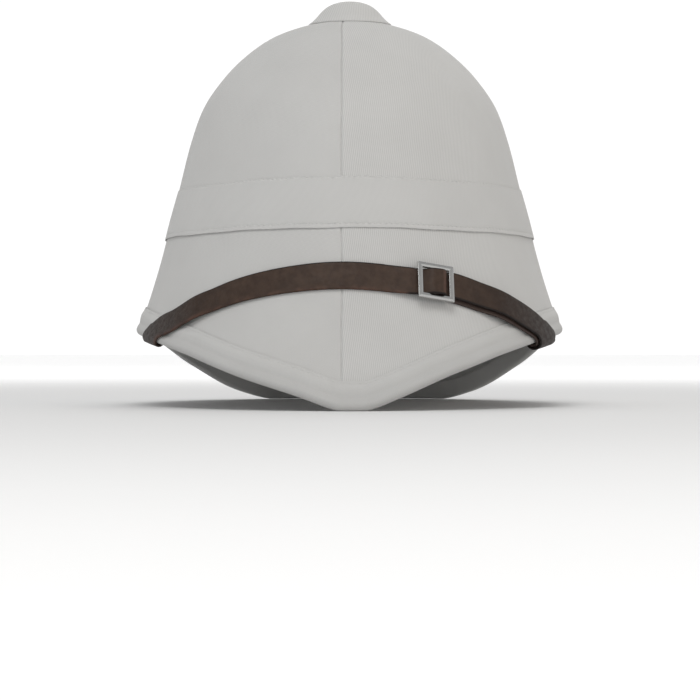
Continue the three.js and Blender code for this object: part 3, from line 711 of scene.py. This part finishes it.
def brim_binding(material, thread):
    columns = BINDING_STITCHES * BINDING_PER_STITCH
    angles, around = even_angles(2.0, columns)
    hole = needle_holes(columns, BINDING_PER_STITCH)
    points = np.array([binding_row(*row, angles, hole) for row in binding_loop()])
    points[..., 2] = np.maximum(points[..., 2], 0.0)
    walked = run_length(np.concatenate([points, points[:1]]))[:, :1]
    binding = make_strip("brim_binding_cloth", points, walked, around, material)
    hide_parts("brim_binding")
    stitching = make_stitching("brim_binding_stitches", angles[::BINDING_PER_STITCH],
                               lambda angle: up_from_edge(angle, BINDING_STITCH_LINE),
                               binding_face(BINDING_STITCH_LINE, 0.5), thread)


# Top button

BUTTON_COLUMNS = 96
BUTTON_ROWS = 44
BUTTON_SEAT_RADIUS = 0.0232
BUTTON_SEAT_DOWN = (0.15, 0.01)
BUTTON_SEAT_ROWS = 12
BUTTON_FOOT_GAP = 0.00012
BUTTON_FOOT_ROUND = 0.00018
BUTTON_TIP_RADIUS = 0.00005


def top_button(material):
    outline = evenly(smooth_line(BUTTON_OUTLINE), BUTTON_ROWS)
    outline[-1, 0] = BUTTON_TIP_RADIUS
    half_width, _, height = crown_section(linspace(*BUTTON_SEAT_DOWN, BUTTON_SEAT_ROWS))
    under = height + FACE + BUTTON_FOOT_GAP
    seat = np.stack([half_width, under], axis=1)[half_width < BUTTON_SEAT_RADIUS]
    rim = BUTTON_OUTLINE[0].radius
    rim_height = np.interp(-rim, -half_width, under)
    foot = [(rim, rim_height + BUTTON_FOOT_ROUND), (rim - BUTTON_FOOT_ROUND, rim_height)]
    profile = np.concatenate([outline[::-1], foot, seat])
    turn = linspace(0, 2 * pi, BUTTON_COLUMNS + 1)
    radius, height = profile.T[..., None]
    points = np.stack(together(radius * cos(turn), radius * sin(turn), height), axis=-1)[:, :-1]
    walked = run_length(profile)[:, None]
    uvs = grid_uvs(walked * cos(turn), walked * sin(turn))
    button = make_grid("top_button_cloth", points, uvs, material)
    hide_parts("top_button")


# Chin strap

ROUND_THE_EDGE = pi * TRIM_FACE
LAYER = STRAP_THICKNESS + GAP
SLIDE_TURN = SLIDE_PIN_RADIUS + GAP + STRAP_THICKNESS / 2
HOOK_TURN = HOOK_WIRE_RADIUS + HOOK_CLEARANCE + STRAP_THICKNESS / 2
BARE_SEAT = TRIM_SEAT - TRIM_FACE
SLIDE_PIN_LEVEL = BARE_SEAT + STRAP_THICKNESS / 2 + SLIDE_TURN
SLIDE_WINDOW = SLIDE_LENGTH / 2 - SLIDE_BAR
STRAP_MARKS = 1201
STRAP_STATION = 0.001
STRAP_EDGE = 0.42 * STRAP_THICKNESS
STRAP_EDGE_TURNS = radians([62, 30, 0, -30, -62])
STRAP_FLAT_POINTS = 9
STRAP_CROWN = 0.00012
STRAP_CROWN_POWER = 4
TURN_STEPS = 14
TURN_LEAD = 0.0015
DOUBLED_MARK = 1.0


def over_wall(angle, from_edge, level):
    """Point over the wall as the strap goes: outside, round the edge, inside."""
    angle, from_edge, level = together(angle, from_edge, level)
    radius = TRIM_FACE + level
    inside = from_edge <= -ROUND_THE_EDGE
    distance = np.where(inside, -from_edge - ROUND_THE_EDGE, np.maximum(from_edge, 0))
    on_wall = wall_at(angle, up_from_edge(angle, distance), np.where(inside, -radius, radius))
    on_edge = edge_round(angle, np.clip(-from_edge / TRIM_FACE, 0, pi), radius)
    at_edge = (from_edge < 0) & ~inside
    return np.where(at_edge[..., None], on_edge, on_wall)


def strap_marks():
    """Places along the strap, with their angle and distance from the edge."""
    per_radian = (BRIM_WIDTH + BRIM_LENGTH) / 4
    left = [(radians(row.angle) * per_radian, row.height + row.skew) for row in STRAP_WAY]
    right = [(-radians(row.angle) * per_radian, row.height - row.skew) for row in STRAP_WAY[:0:-1]]
    line = evenly(smooth_line(right + left), STRAP_MARKS)
    angle = line[:, 0] / per_radian
    edge = edge_point(angle)[:, 2]
    climb = line[:, 1] - edge
    from_edge = np.where(climb > 0, climb * brim_depth(angle) / (BAND_FOOT - edge), climb)
    walked = run_length(over_wall(angle, from_edge, 0.0))
    return walked - walked[-1] / 2, angle, from_edge


MARK_ALONG, MARK_ANGLE, MARK_EDGE = strap_marks()
SLIDE_ALONG = np.interp(SLIDE_ANGLE, MARK_ANGLE, MARK_ALONG)
LEFT_HALF = MARK_ALONG > 0
EDGE_ALONG, INSIDE_ALONG = np.interp([0, ROUND_THE_EDGE], -MARK_EDGE[LEFT_HALF], MARK_ALONG[LEFT_HALF])
HOOK_ALONG = MARK_ALONG[-1] - HOOK_INSET


def strap_mark(along):
    return np.interp(along, MARK_ALONG, MARK_ANGLE), np.interp(along, MARK_ALONG, MARK_EDGE)


def strap_point(along, across, level):
    """Point of the strap: along it, across it upwards, and out from its seat."""
    along, across, level = together(along, across, level)
    angle, from_edge = strap_mark(along)
    turn = 0.01
    rise = 0.0005
    around = (over_wall(angle + turn, from_edge, 0) - over_wall(angle - turn, from_edge, 0)) / (2 * turn)
    up = (over_wall(angle, from_edge + rise, 0) - over_wall(angle, from_edge - rise, 0)) / (2 * rise)
    next_angle, next_edge = strap_mark(along + SMALL_STEP)
    last_angle, last_edge = strap_mark(along - SMALL_STEP)
    heading = around * (next_angle - last_angle)[..., None] + up * (next_edge - last_edge)[..., None]
    square_angle = -dot(heading, up)
    square_edge = dot(heading, around)
    length = np.linalg.norm(around * square_angle + up * square_edge, axis=-1)
    share = across / length
    return over_wall(angle + square_angle[..., 0] * share, from_edge + square_edge[..., 0] * share, level)


def strap_heading(along):
    return unit(strap_point(along + SMALL_STEP, 0, 0) - strap_point(along - SMALL_STEP, 0, 0))


def bridge_rise(along):
    """How far the taut strap stands off the wall before the brim's edge."""
    start = np.where(np.asarray(along) > 0, SLIDE_ALONG + SLIDE_LENGTH, STRAP_BRIDGE_FROM)
    share = np.clip((np.abs(along) - start) / (EDGE_ALONG - start), 0, 1)
    return STRAP_BRIDGE_RISE * sin(pi * share) ** 2


def lower_level(along):
    """Level of the layer next to the wall."""
    start, end = (BINDING_OUTSIDE + d for d in STRAP_COMES_DOWN)
    share = smoothstep(strap_mark(along)[1], start, end)
    seat = STRAP_STAND_OFF + (BARE_SEAT - STRAP_STAND_OFF) * share
    return seat + bridge_rise(along) + STRAP_THICKNESS / 2


def upper_level(along):
    """Level of the layer that shows, which passes over the slide's pin."""
    from_slide = along - SLIDE_ALONG
    doubled = LAYER * smoothstep(from_slide, -STRAP_CLIMB[0], -STRAP_CLIMB[1])
    climbs = smoothstep(from_slide, GAP - SLIDE_WINDOW, -STRAP_SEWN_END)
    falls = 1 - smoothstep(from_slide, STRAP_SHOULDER, SLIDE_WINDOW - GAP)
    over_pin = 2 * SLIDE_TURN * climbs * falls
    from_hook = (2 * HOOK_TURN - LAYER) * smoothstep(along, HOOK_ALONG - STRAP_WIDTH, HOOK_ALONG)
    return lower_level(along) + doubled + over_pin + from_hook


def strap_slip(along):
    """Share of its full slip across that a layer has, from the slide to the hook."""
    starts = smoothstep(along - SLIDE_ALONG, *STRAP_SLIPS)
    ends = 1 - smoothstep(along, SLIDE_ALONG + STRAP_SLIPS_UNTIL, HOOK_ALONG)
    return starts * ends


def strap_width(along):
    """Share of its full width: the strap tapers, and the slide draws it in."""
    taper = STRAP_TAPER * smoothstep(-along, *STRAP_TAPER_ALONG)
    pinch = SLIDE_PINCH * (1 - smoothstep(np.abs(along - SLIDE_ALONG), SLIDE_WINDOW, SLIDE_PINCH_UNTIL))
    return 1 - (taper + pinch) / STRAP_WIDTH


def strap_run(start, end, level_at, slip_at, doubled=0):
    way = np.sign(end - start)
    along = np.arange(start + way * TURN_LEAD, end - way * TURN_LEAD, way * STRAP_STATION)
    return np.stack([along, level_at(along), slip_at(along), doubled + 0 * along], axis=1)


def strap_turn(along, level, radius, start, sweep, doubled=0):
    angle = start + sweep * linspace(0, 1, TURN_STEPS)
    columns = [along + radius * cos(angle), level + radius * sin(angle), 0 * angle, doubled + 0 * angle]
    return np.stack(columns, axis=1)


def strap_path():
    """The strap as rows of along, level, slip and whether it is the doubled end: from the slide's
    pin to the left hook, back through the slide, and over the front to the right hook."""
    half = pi / 2
    left = float(lower_level(HOOK_ALONG)) + HOOK_TURN
    right = float(lower_level(-HOOK_ALONG)) + HOOK_TURN
    spare = right + HOOK_TURN
    return np.concatenate([
        [[SLIDE_ALONG + STRAP_SEWN_END, SLIDE_PIN_LEVEL + SLIDE_TURN, 0, 1]],
        strap_turn(SLIDE_ALONG, SLIDE_PIN_LEVEL, SLIDE_TURN, half, pi, 1),
        strap_run(SLIDE_ALONG, HOOK_ALONG, lower_level, lambda a: -STRAP_SLIP_DOWN * strap_slip(a), 1),
        strap_turn(HOOK_ALONG, left, HOOK_TURN, -half, pi),
        strap_run(HOOK_ALONG, -HOOK_ALONG, upper_level, lambda a: STRAP_SLIP_UP * strap_slip(a)),
        strap_turn(-HOOK_ALONG, right, HOOK_TURN, -half, -pi),
        strap_run(-HOOK_ALONG, STRAP_SPARE_END - HOOK_ALONG, lambda a: spare + 0 * a, np.zeros_like),
    ])


def strap_lean(along):
    """Slant of a section, along the brim's edge and along the slide's pin."""
    reach = np.abs(along)
    around = unit(round_wall(strap_mark(EDGE_ALONG)[0], 2.0))
    askew = np.arccos(np.dot(strap_heading(EDGE_ALONG), around))
    outside = smoothstep(reach, EDGE_ALONG - STRAP_LEAN[0], EDGE_ALONG - STRAP_LEAN[1])
    inside = 1 - smoothstep(reach, INSIDE_ALONG + STRAP_WIDTH / 4, HOOK_ALONG - STRAP_WIDTH / 4)
    at_slide = 1 - smoothstep(np.abs(along - SLIDE_ALONG), SLIDE_LENGTH / 2, SLIDE_GRIP)
    return np.sign(along) * outside * inside / np.tan(askew) - at_slide * np.tan(SLIDE_TILT)


def strap_section():
    """Ring of the strap's section as across and lift, slightly crowned."""
    half = STRAP_WIDTH / 2
    face = STRAP_THICKNESS / 2
    bend = half - STRAP_EDGE
    flat = linspace(bend, -bend, STRAP_FLAT_POINTS)
    top = [(a, face - STRAP_CROWN * (a / half) ** STRAP_CROWN_POWER) for a in flat]
    under = [(-a, -face) for a in flat]
    low_edge = [(-bend - STRAP_EDGE * cos(t), face * sin(t)) for t in STRAP_EDGE_TURNS]
    high_edge = [(bend + STRAP_EDGE * cos(t), -face * sin(t)) for t in STRAP_EDGE_TURNS]
    return np.array(top + low_edge + under + high_edge)


def chin_strap(material):
    path = strap_path()
    section = strap_section()
    along, level, slip, doubled = path.T[..., None]
    ahead, out = unit(np.gradient(path[:, :2], axis=0)).T[..., None]
    across = section[:, 0] * strap_width(along)
    lift = section[:, 1]
    leaning = along - lift * out + strap_lean(along) * across
    points = strap_point(leaning, across + slip, level + lift * ahead)
    from_slide = along - SLIDE_ALONG + DOUBLED_MARK * doubled
    u, v = together(from_slide, np.append(section[:, 0], section[0, 0]))
    strap = make_grid("chin_strap_leather", points, grid_uvs(u, v), material)
    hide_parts("chin_strap")


# Slide and hooks

SLIDE_UNDERSIDE = BARE_SEAT + STRAP_THICKNESS + LAYER + GAP
SLIDE_FLAT = 0.0005
SLIDE_SIDE = 0.00173
SLIDE_FOOT_CUT = 0.0002
SLIDE_CORNERS = [(1, 1), (-1, 1), (-1, -1), (1, -1)]
SLIDE_SOFTENED = 0.00016
SLIDE_SOFT_STEPS = 3
SLIDE_SOFT_ANGLE = radians(20)
PIN_SIDES = 12
PIN_BEND = 0.0006
PIN_REACH = 0.0008
HOOK_SIDES = 14
HOOK_STATIONS = 60
NO_WIRE_WAY = (1.0, 0.01, 0.02)  # a direction that no wire takes


def tube_rings(centre, radius, sides):
    """Rings of a round wire along a line of points."""
    along = unit(np.gradient(centre, axis=0))
    side = unit(np.cross(along, NO_WIRE_WAY))
    return centre[:, None] + radius * ring_spread(side, np.cross(along, side), sides)


def slide_frame():
    """Rings of the frame at its four corners: upright sides, sloping faces and a narrow flat."""
    half, flat, foot = SLIDE_BAR / 2, SLIDE_FLAT / 2, SLIDE_FOOT_CUT
    across, height = np.transpose([
        (-half, foot), (-half, SLIDE_SIDE), (-flat, SLIDE_THICKNESS), (flat, SLIDE_THICKNESS),
        (half, SLIDE_SIDE), (half, foot), (half - foot, 0), (foot - half, 0),
    ])
    x = SLIDE_LENGTH / 2 - half - across
    y = SLIDE_HEIGHT / 2 - half - across
    z = SLIDE_UNDERSIDE + height
    return np.array([np.stack([side_x * x, side_y * y, z], axis=1) for side_x, side_y in SLIDE_CORNERS])


def slide_pin():
    """Rings of the pin behind the window, whose ends turn up into the frame."""
    leg = SLIDE_HEIGHT / 2 - SLIDE_BAR / 2
    bend = SLIDE_PIN_LEVEL + PIN_BEND
    end = [(leg - PIN_BEND, SLIDE_PIN_LEVEL), (leg, bend), (leg, SLIDE_UNDERSIDE + PIN_REACH)]
    centre = [(0, -y, z) for y, z in end[::-1]] + [(0, y, z) for y, z in end]
    return tube_rings(np.array(centre), SLIDE_PIN_RADIUS, PIN_SIDES)


def slide_matrix():
    """The slide's origin and axes: X along the strap, Y across it, Z out."""
    origin = strap_point(SLIDE_ALONG, 0, 0)
    z = unit(strap_point(SLIDE_ALONG, 0, SMALL_STEP) - origin)
    y = unit(np.cross(z, strap_heading(SLIDE_ALONG)))
    x = np.cross(y, z)
    ahead, aside = cos(SLIDE_TILT), sin(SLIDE_TILT)
    return origin, np.array([ahead * x + aside * y, ahead * y - aside * x, z])


def slide_buckle(material):
    bars = slide_frame()
    pin = slide_pin()
    local = np.concatenate([bars.reshape(-1, 3), pin.reshape(-1, 3)])
    start = bars.shape[0] * bars.shape[1]
    bar_quads = grid_quads(*bars.shape[:2], joined=True)
    quads = np.concatenate([bar_quads, grid_quads(*pin.shape[:2]) + start])
    caps = end_caps(*pin.shape[:2], start)
    origin, axes = slide_matrix()
    placed = origin + local @ axes
    uvs = local[quads][..., :2]
    slide = make_piece("slide_buckle_frame", placed, quads, uvs, material, caps)
    slide.data.shade_flat()
    bevel = slide.modifiers.new("soft_edges", "BEVEL")
    bevel.width = SLIDE_SOFTENED
    bevel.segments = SLIDE_SOFT_STEPS
    bevel.limit_method = "ANGLE"
    bevel.angle_limit = SLIDE_SOFT_ANGLE
    bevel.harden_normals = True
    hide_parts("slide_buckle")


def strap_hook(name, side, material):
    along = side * HOOK_ALONG
    bar = float(lower_level(along)) + HOOK_TURN
    cut = HOOK_CORNER * (1 - np.sqrt(0.5))
    span = HOOK_HALF_SPAN
    leg = [(span, BARE_SEAT + HOOK_FOOT_GAP), (span, bar - HOOK_CORNER)]
    leg += [(span - cut, bar - cut), (span - HOOK_CORNER, bar)]
    way = [(-across, level) for across, level in leg] + [(0, bar)] + leg[::-1]
    corners = np.array([strap_point(along, across, level) for across, level in way])
    centre = evenly(smooth_line(corners), HOOK_STATIONS)
    rings = tube_rings(centre, HOOK_WIRE_RADIUS, HOOK_SIDES)
    round_wire = linspace(0, 2 * pi * HOOK_WIRE_RADIUS, HOOK_SIDES + 1)
    u, v = together(run_length(centre)[:, None], round_wire)
    hook = make_grid(name + "_wire", rings, grid_uvs(u, v), material)
    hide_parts(name)


# Materials

WHITE = (1, 1, 1, 1)

# Sockets of the mixing node that are for colours
MIX_SHARE, MIX_FIRST, MIX_SECOND, MIX_RESULT = 0, 6, 7, 2


class Nodes:
    """The nodes of a material or of the world, made and linked by short calls."""

    def __init__(self, owner):
        owner.use_nodes = True
        self.owner = owner
        self.nodes = owner.node_tree.nodes

    def node(self, kind, inputs=None, **settings):
        node = self.nodes.new("ShaderNode" + kind)
        for key, value in settings.items():
            setattr(node, key, value)
        for key, value in (inputs or {}).items():
            self.put(value, node.inputs[key])
        return node

    def put(self, value, socket):
        if isinstance(value, bpy.types.NodeSocket):
            self.owner.node_tree.links.new(value, socket)
        else:
            socket.default_value = value

    def math(self, operation, *values):
        return self.node("Math", dict(enumerate(values)), operation=operation).outputs[0]

    def plus(self, base, value, share):
        """A base and a share of a value."""
        return self.math("MULTIPLY_ADD", value, share, base)

    def wave(self, turns):
        return self.math("SINE", self.math("MULTIPLY", turns, 2 * pi))

    def mix(self, share, first, second):
        inputs = {MIX_SHARE: share, MIX_FIRST: first, MIX_SECOND: second}
        return self.node("Mix", inputs, data_type="RGBA").outputs[MIX_RESULT]

    def ramp(self, value, low, high, to_low=0.0, to_high=1.0):
        inputs = {"Value": value, "From Min": low, "From Max": high, "To Min": to_low, "To Max": to_high}
        return self.node("MapRange", inputs, interpolation_type="SMOOTHSTEP").outputs["Result"]

    def place(self, kind="Object"):
        return self.node("TexCoord").outputs[kind]

    def noise(self, scale, detail=3.0, roughness=0.5):
        inputs = {"Vector": self.place(), "Scale": scale, "Detail": detail, "Roughness": roughness}
        return self.node("TexNoise", inputs).outputs["Fac"]

    def grain(self):
        """The cloth or leather's own coordinates in metres."""
        split = self.node("SeparateXYZ", {0: self.node("UVMap", uv_map="grain").outputs["UV"]})
        return split.outputs["X"], split.outputs["Y"]

    def bump(self, height, distance, strength):
        node = self.node("Bump", {"Height": height, "Distance": distance, "Strength": strength})
        return node.outputs["Normal"]

    def surface(self, **values):
        """Set the surface's sockets by their names, and give back the material."""
        names = {key.replace("_", " ").lower(): key for key in values}
        for socket in self.nodes["Principled BSDF"].inputs:
            key = names.get(socket.name.lower())
            if key:
                self.put(values[key], socket)
        return self.owner


def new_material(name):
    return Nodes(bpy.data.materials.new(name))


# Cotton. A noise is its spots to the metre, octaves and their roughness, a bump its depth and strength.
COTTON_LIGHT = (0.610, 0.607, 0.596, 1)
COTTON_DEEP = (0.470, 0.467, 0.457, 1)
COTTON_BUMP = (0.00012, 0.4)
TWILL_PITCH = 0.0011
TWILL_SLANT = 0.125
TWILL_WAVER = 0.8
YARN_PITCH = 0.0007
YARN_SLANT = 0.5
RIB_SHARE = 0.40
YARN_SHARE = 0.10
FUZZ_SHARE = 0.35
MOTTLE_SHARE = 0.15
MOTTLE_RANGE = (0.25, 0.75)
WAVER_NOISE = (90.0, 2.0)
FUZZ_NOISE = (2600.0, 2.0)
MOTTLE_NOISE = (30.0, 4.0, 0.6)
# Painted shade of the hem: greyer tones of the cotton, from a little below its top fold down to its edge
HEM_PAINTED_SHADE_LIGHT = (0.5612, 0.55844, 0.54832, 1)
HEM_PAINTED_SHADE_DEEP = (0.4324, 0.42964, 0.42044, 1)
HEM_PAINTED_SHADE_SPAN = (0.003 * WEFT_FINENESS, 0.0125 * WEFT_FINENESS)


def cotton_twill(name, hem=False):
    """White cotton drill: slanting twill lines made of short yarns, with a faint mottle. A hem has
    painted shade: it grows greyer towards its edge, where it turns down from the light."""
    s = new_material(name)
    u, v = s.grain()
    line = s.math("DIVIDE", s.plus(u, v, TWILL_SLANT), TWILL_PITCH)
    line = s.plus(line, s.noise(*WAVER_NOISE), TWILL_WAVER)
    yarn = s.wave(s.plus(s.math("DIVIDE", v, YARN_PITCH), line, YARN_SLANT))
    weave = s.plus(s.plus(0.5, s.wave(line), RIB_SHARE), yarn, YARN_SHARE)
    mottle = s.ramp(s.noise(*MOTTLE_NOISE), *MOTTLE_RANGE)
    tone = s.plus(s.math("MULTIPLY", weave, 1 - MOTTLE_SHARE), mottle, MOTTLE_SHARE)
    colour = s.mix(tone, COTTON_DEEP, COTTON_LIGHT)
    # Painted shade: the hem grows greyer towards its edge
    if hem:
        colour = s.mix(s.ramp(u, *HEM_PAINTED_SHADE_SPAN), colour, s.mix(tone, HEM_PAINTED_SHADE_DEEP, HEM_PAINTED_SHADE_LIGHT))
    relief = s.bump(s.plus(weave, s.noise(*FUZZ_NOISE), FUZZ_SHARE), *COTTON_BUMP)
    return s.surface(base_color=colour, roughness=0.9, specular_ior_level=0.2, sheen_weight=0.08,
                     sheen_roughness=0.5, normal=relief)


# Thread
THREAD_NOISE = (1800.0, 2.0)
THREAD_BUMP = (0.0001, 0.5)


def cotton_thread(name):
    s = new_material(name)
    twist = s.noise(*THREAD_NOISE)
    colour = s.mix(twist, COTTON_DEEP, COTTON_LIGHT)
    return s.surface(base_color=colour, roughness=0.8, specular_ior_level=0.2,
                     normal=s.bump(twist, *THREAD_BUMP))


# Leather
LEATHER_DARK = (0.037, 0.021, 0.014, 1)
LEATHER_MID = (0.056, 0.033, 0.022, 1)
LEATHER_WEAR_AND_HIGHLIGHT = (0.100, 0.052, 0.036, 1)
LEATHER_RAW = (0.046, 0.030, 0.025, 1)
LEATHER_RIM_AND_SIDE_SHADE = (0.010, 0.006, 0.005, 1)
LEATHER_BUMP = (0.00012, 0.55)
LEATHER_GLOSS = (0.45, 0.62)
NOISE_MIDDLE = (0.3, 0.7)
BLOTCH_NOISE = (160.0, 5.0, 0.6)
WEAR_NOISE = (95.0, 4.0, 0.6)
GLOSS_NOISE = (420.0,)
FIBRE_NOISE = (900.0,)
FIBRE_SHARE = 0.5
PEBBLE_SCALE = 1500.0
PEBBLE_EDGE = 0.25
PEBBLE_SHARE = 0.6
# Painted highlight on the strap's shoulder over the slide's pin: where it lies from the slide, its width
# and strength
PIN_HIGHLIGHT_AT = 0.0042
PIN_HIGHLIGHT_WIDTH = 0.0016
PIN_HIGHLIGHT_SHOWS = 0.7
WEAR_UNTIL = -0.012
WEAR_FADES = 0.004
WEAR_INNER = 0.62
WEAR_RANGE = (0.38, 0.62)
WEAR_SHOWS = 0.7
RIM_FROM = 0.86
RIM_FULL = 0.93
RIM_SHOWS = 0.95
# Painted shade on the strap towards the helmet's sides: where it starts and ends across the helmet, and
# how strong it is
PAINTED_SIDE_SHADE = (0.045, 0.11)
PAINTED_SIDE_SHADE_SHOWS = 0.62
RAW_FADES = 0.01


def strap_leather(name):
    """Dark brown strap leather: a fine grain, browner wear along the lower edge of its single part, a
    painted highlight in the worn colour over the slide's pin, painted shade towards the helmet's sides,
    darker rims, and greyer leather on its doubled end."""
    s = new_material(name)
    half = STRAP_WIDTH / 2
    along, across = s.grain()
    colour = s.mix(s.ramp(s.noise(*BLOTCH_NOISE), *NOISE_MIDDLE), LEATHER_DARK, LEATHER_MID)
    # Painted shade: darker towards the helmet's sides, where the strap turns from the light
    aside = s.math("ABSOLUTE", s.node("SeparateXYZ", {0: s.place()}).outputs["X"])
    colour = s.mix(s.ramp(aside, *PAINTED_SIDE_SHADE, 0.0, PAINTED_SIDE_SHADE_SHOWS), colour, LEATHER_RIM_AND_SIDE_SHADE)
    low_edge = s.ramp(across, -half, -WEAR_INNER * half, 1.0, 0.0)
    single = s.ramp(along, WEAR_UNTIL - WEAR_FADES, WEAR_UNTIL, 1.0, 0.0)
    wear = s.math("MULTIPLY", low_edge, s.ramp(s.noise(*WEAR_NOISE), *WEAR_RANGE, 0.0, WEAR_SHOWS))
    colour = s.mix(s.math("MULTIPLY", wear, single), colour, LEATHER_WEAR_AND_HIGHLIGHT)
    # Painted highlight: a lighter band in the worn colour on the shoulder over the slide's pin
    from_pin_highlight = s.math("ABSOLUTE", s.math("SUBTRACT", along, PIN_HIGHLIGHT_AT))
    colour = s.mix(s.ramp(from_pin_highlight, 0.0, PIN_HIGHLIGHT_WIDTH, PIN_HIGHLIGHT_SHOWS, 0.0), colour, LEATHER_WEAR_AND_HIGHLIGHT)
    rim = s.ramp(s.math("ABSOLUTE", across), RIM_FROM * half, RIM_FULL * half, 0.0, RIM_SHOWS)
    unworn = s.math("MAXIMUM", s.math("SIGN", across), s.math("SUBTRACT", 1.0, single))
    colour = s.mix(s.math("MULTIPLY", rim, unworn), colour, LEATHER_RIM_AND_SIDE_SHADE)
    raw = s.ramp(along, DOUBLED_MARK / 2, DOUBLED_MARK / 2 + RAW_FADES)
    colour = s.mix(raw, colour, LEATHER_RAW)
    gloss = s.ramp(s.noise(*GLOSS_NOISE), *NOISE_MIDDLE, *LEATHER_GLOSS)
    cells = s.node("TexVoronoi", {"Scale": PEBBLE_SCALE, "Vector": s.place()}, feature="DISTANCE_TO_EDGE")
    pebble = s.math("MULTIPLY", s.ramp(cells.outputs["Distance"], 0.0, PEBBLE_EDGE), PEBBLE_SHARE)
    relief = s.bump(s.plus(pebble, s.noise(*FIBRE_NOISE), FIBRE_SHARE), *LEATHER_BUMP)
    return s.surface(base_color=colour, roughness=gloss, specular_ior_level=0.26, normal=relief)


# Metals: scuffs on plate, and the draw of a wire
Metal = namedtuple("Metal", "name dark light noise range roughness bump")
NICKEL = Metal("nickel_plate", (0.53, 0.53, 0.52, 1), (0.59, 0.59, 0.58, 1), (500.0, 3.0, 0.6),
               (0.3, 0.75), (0.10, 0.16), (0.00001, 0.1))
STEEL = Metal("steel_wire", (0.42, 0.42, 0.43, 1), (0.58, 0.58, 0.59, 1), (900.0,),
              NOISE_MIDDLE, (0.3, 0.45), (0.00003, 0.4))


def bright_metal(look):
    s = new_material(look.name)
    marks = s.noise(*look.noise)
    colour = s.mix(marks, look.dark, look.light)
    rough = s.ramp(marks, *look.range, *look.roughness)
    return s.surface(base_color=colour, metallic=1.0, roughness=rough, normal=s.bump(marks, *look.bump))


# Studio

PHOTO_YAW = radians(1.6)
CAMERA_DISTANCE = 1.430
CAMERA_HEIGHT = 0.03107
CAMERA_LENS = 127.44
FLOOR_SIZE = 30.0
FLOOR_SINK = 0.0002
FLOOR_FADE = (0.35, 1.9)
FLOOR_GLOW = 0.5
FLOOR_DARK = (0.79, 0.79, 0.79, 1)
FLOOR_LIGHT = (0.81, 0.81, 0.81, 1)
FLOOR_NOISE = (1.5, 2.0)
WORLD_SIDES = {"From Min": 0.25, "From Max": 0.95, "To Min": 1.05, "To Max": 0.82}
WORLD_HEIGHTS = [(0.15, WHITE), (0.7, (0.45, 0.45, 0.45, 1))]

SoftBox = namedtuple("SoftBox", "name place target size power colour")
SOFT_BOXES = [
    SoftBox("key", (-0.15, -1.35, 2.1), (0, 0, 0.12), 1.2, 18.5, (1, 0.998, 0.985)),
    SoftBox("rear", (0.3, 1.9, 2.0), (0, 0, 0.1), 1.4, 11, (1, 1, 1)),
    SoftBox("warm_side", (1.9, -0.9, 0.8), (0, 0, 0.12), 0.8, 2.5, (1, 0.8, 0.56)),
]


def pale_floor(name):
    """Pale floor that glows more away from the helmet: painted light that fades it into white."""
    s = new_material(name)
    away = s.node("VectorMath", {0: s.place()}, operation="LENGTH").outputs["Value"]
    glow = s.ramp(away, *FLOOR_FADE, 0.0, FLOOR_GLOW)
    colour = s.mix(s.noise(*FLOOR_NOISE), FLOOR_DARK, FLOOR_LIGHT)
    return s.surface(base_color=colour, roughness=0.8, specular_ior_level=0.1, emission_color=WHITE,
                     emission_strength=glow)


def studio_floor():
    half = FLOOR_SIZE / 2
    corners = [(-half, -half, 0), (half, -half, 0), (half, half, 0), (-half, half, 0)]
    mesh = bpy.data.meshes.new("floor")
    mesh.from_pydata(corners, [], [(0, 1, 2, 3)])
    mesh.materials.append(pale_floor("pale_floor"))
    floor = new_object("floor", mesh)
    floor.location.z = -FLOOR_SINK


def photo_camera():
    data = bpy.data.cameras.new("photo_camera")
    data.lens = CAMERA_LENS
    camera = new_object("photo_camera", data)
    aside, ahead = sin(PHOTO_YAW), cos(PHOTO_YAW)
    camera.location = (CAMERA_DISTANCE * aside, -CAMERA_DISTANCE * ahead, CAMERA_HEIGHT)
    camera.rotation_euler = (pi / 2, 0, PHOTO_YAW)
    bpy.context.scene.camera = camera


def soft_box(box):
    data = bpy.data.lights.new(box.name, "AREA")
    data.size = box.size
    data.energy = box.power
    data.color = box.colour
    light = new_object(box.name, data)
    light.location = box.place
    light.rotation_euler = (Vector(box.target) - Vector(box.place)).to_track_quat("-Z", "Y").to_euler()


def studio_world():
    """A pale room, greyer overhead and at the sides."""
    world = bpy.data.worlds.new("studio")
    bpy.context.scene.world = world
    s = Nodes(world)
    split = s.node("SeparateXYZ", {0: s.place("Generated")})
    aside = s.math("ABSOLUTE", split.outputs["X"])
    sides = s.node("MapRange", {"Value": aside, **WORLD_SIDES})
    heights = s.node("ValToRGB", {"Fac": split.outputs["Z"]})
    for element, (height, colour) in zip(heights.color_ramp.elements, WORLD_HEIGHTS):
        element.position = height
        element.color = colour
    background = s.nodes["Background"].inputs
    s.put(heights.outputs["Color"], background["Color"])
    s.put(sides.outputs["Result"], background["Strength"])


def studio():
    bpy.context.scene.view_settings.view_transform = "Standard"
    studio_floor()
    photo_camera()
    studio_world()
    for box in SOFT_BOXES:
        soft_box(box)


def dress_helmet():
    cloth = cotton_twill("cotton_twill")
    thread = cotton_thread("cotton_thread")
    steel = bright_metal(STEEL)
    helmet_cover(cloth)
    crown_band(cloth, thread)
    brim_binding(cotton_twill("binding_twill", hem=True), thread)
    top_button(cloth)
    chin_strap(strap_leather("strap_leather"))
    slide_buckle(bright_metal(NICKEL))
    strap_hook("strap_hook_left", 1, steel)
    strap_hook("strap_hook_right", -1, steel)


studio()
dress_helmet()
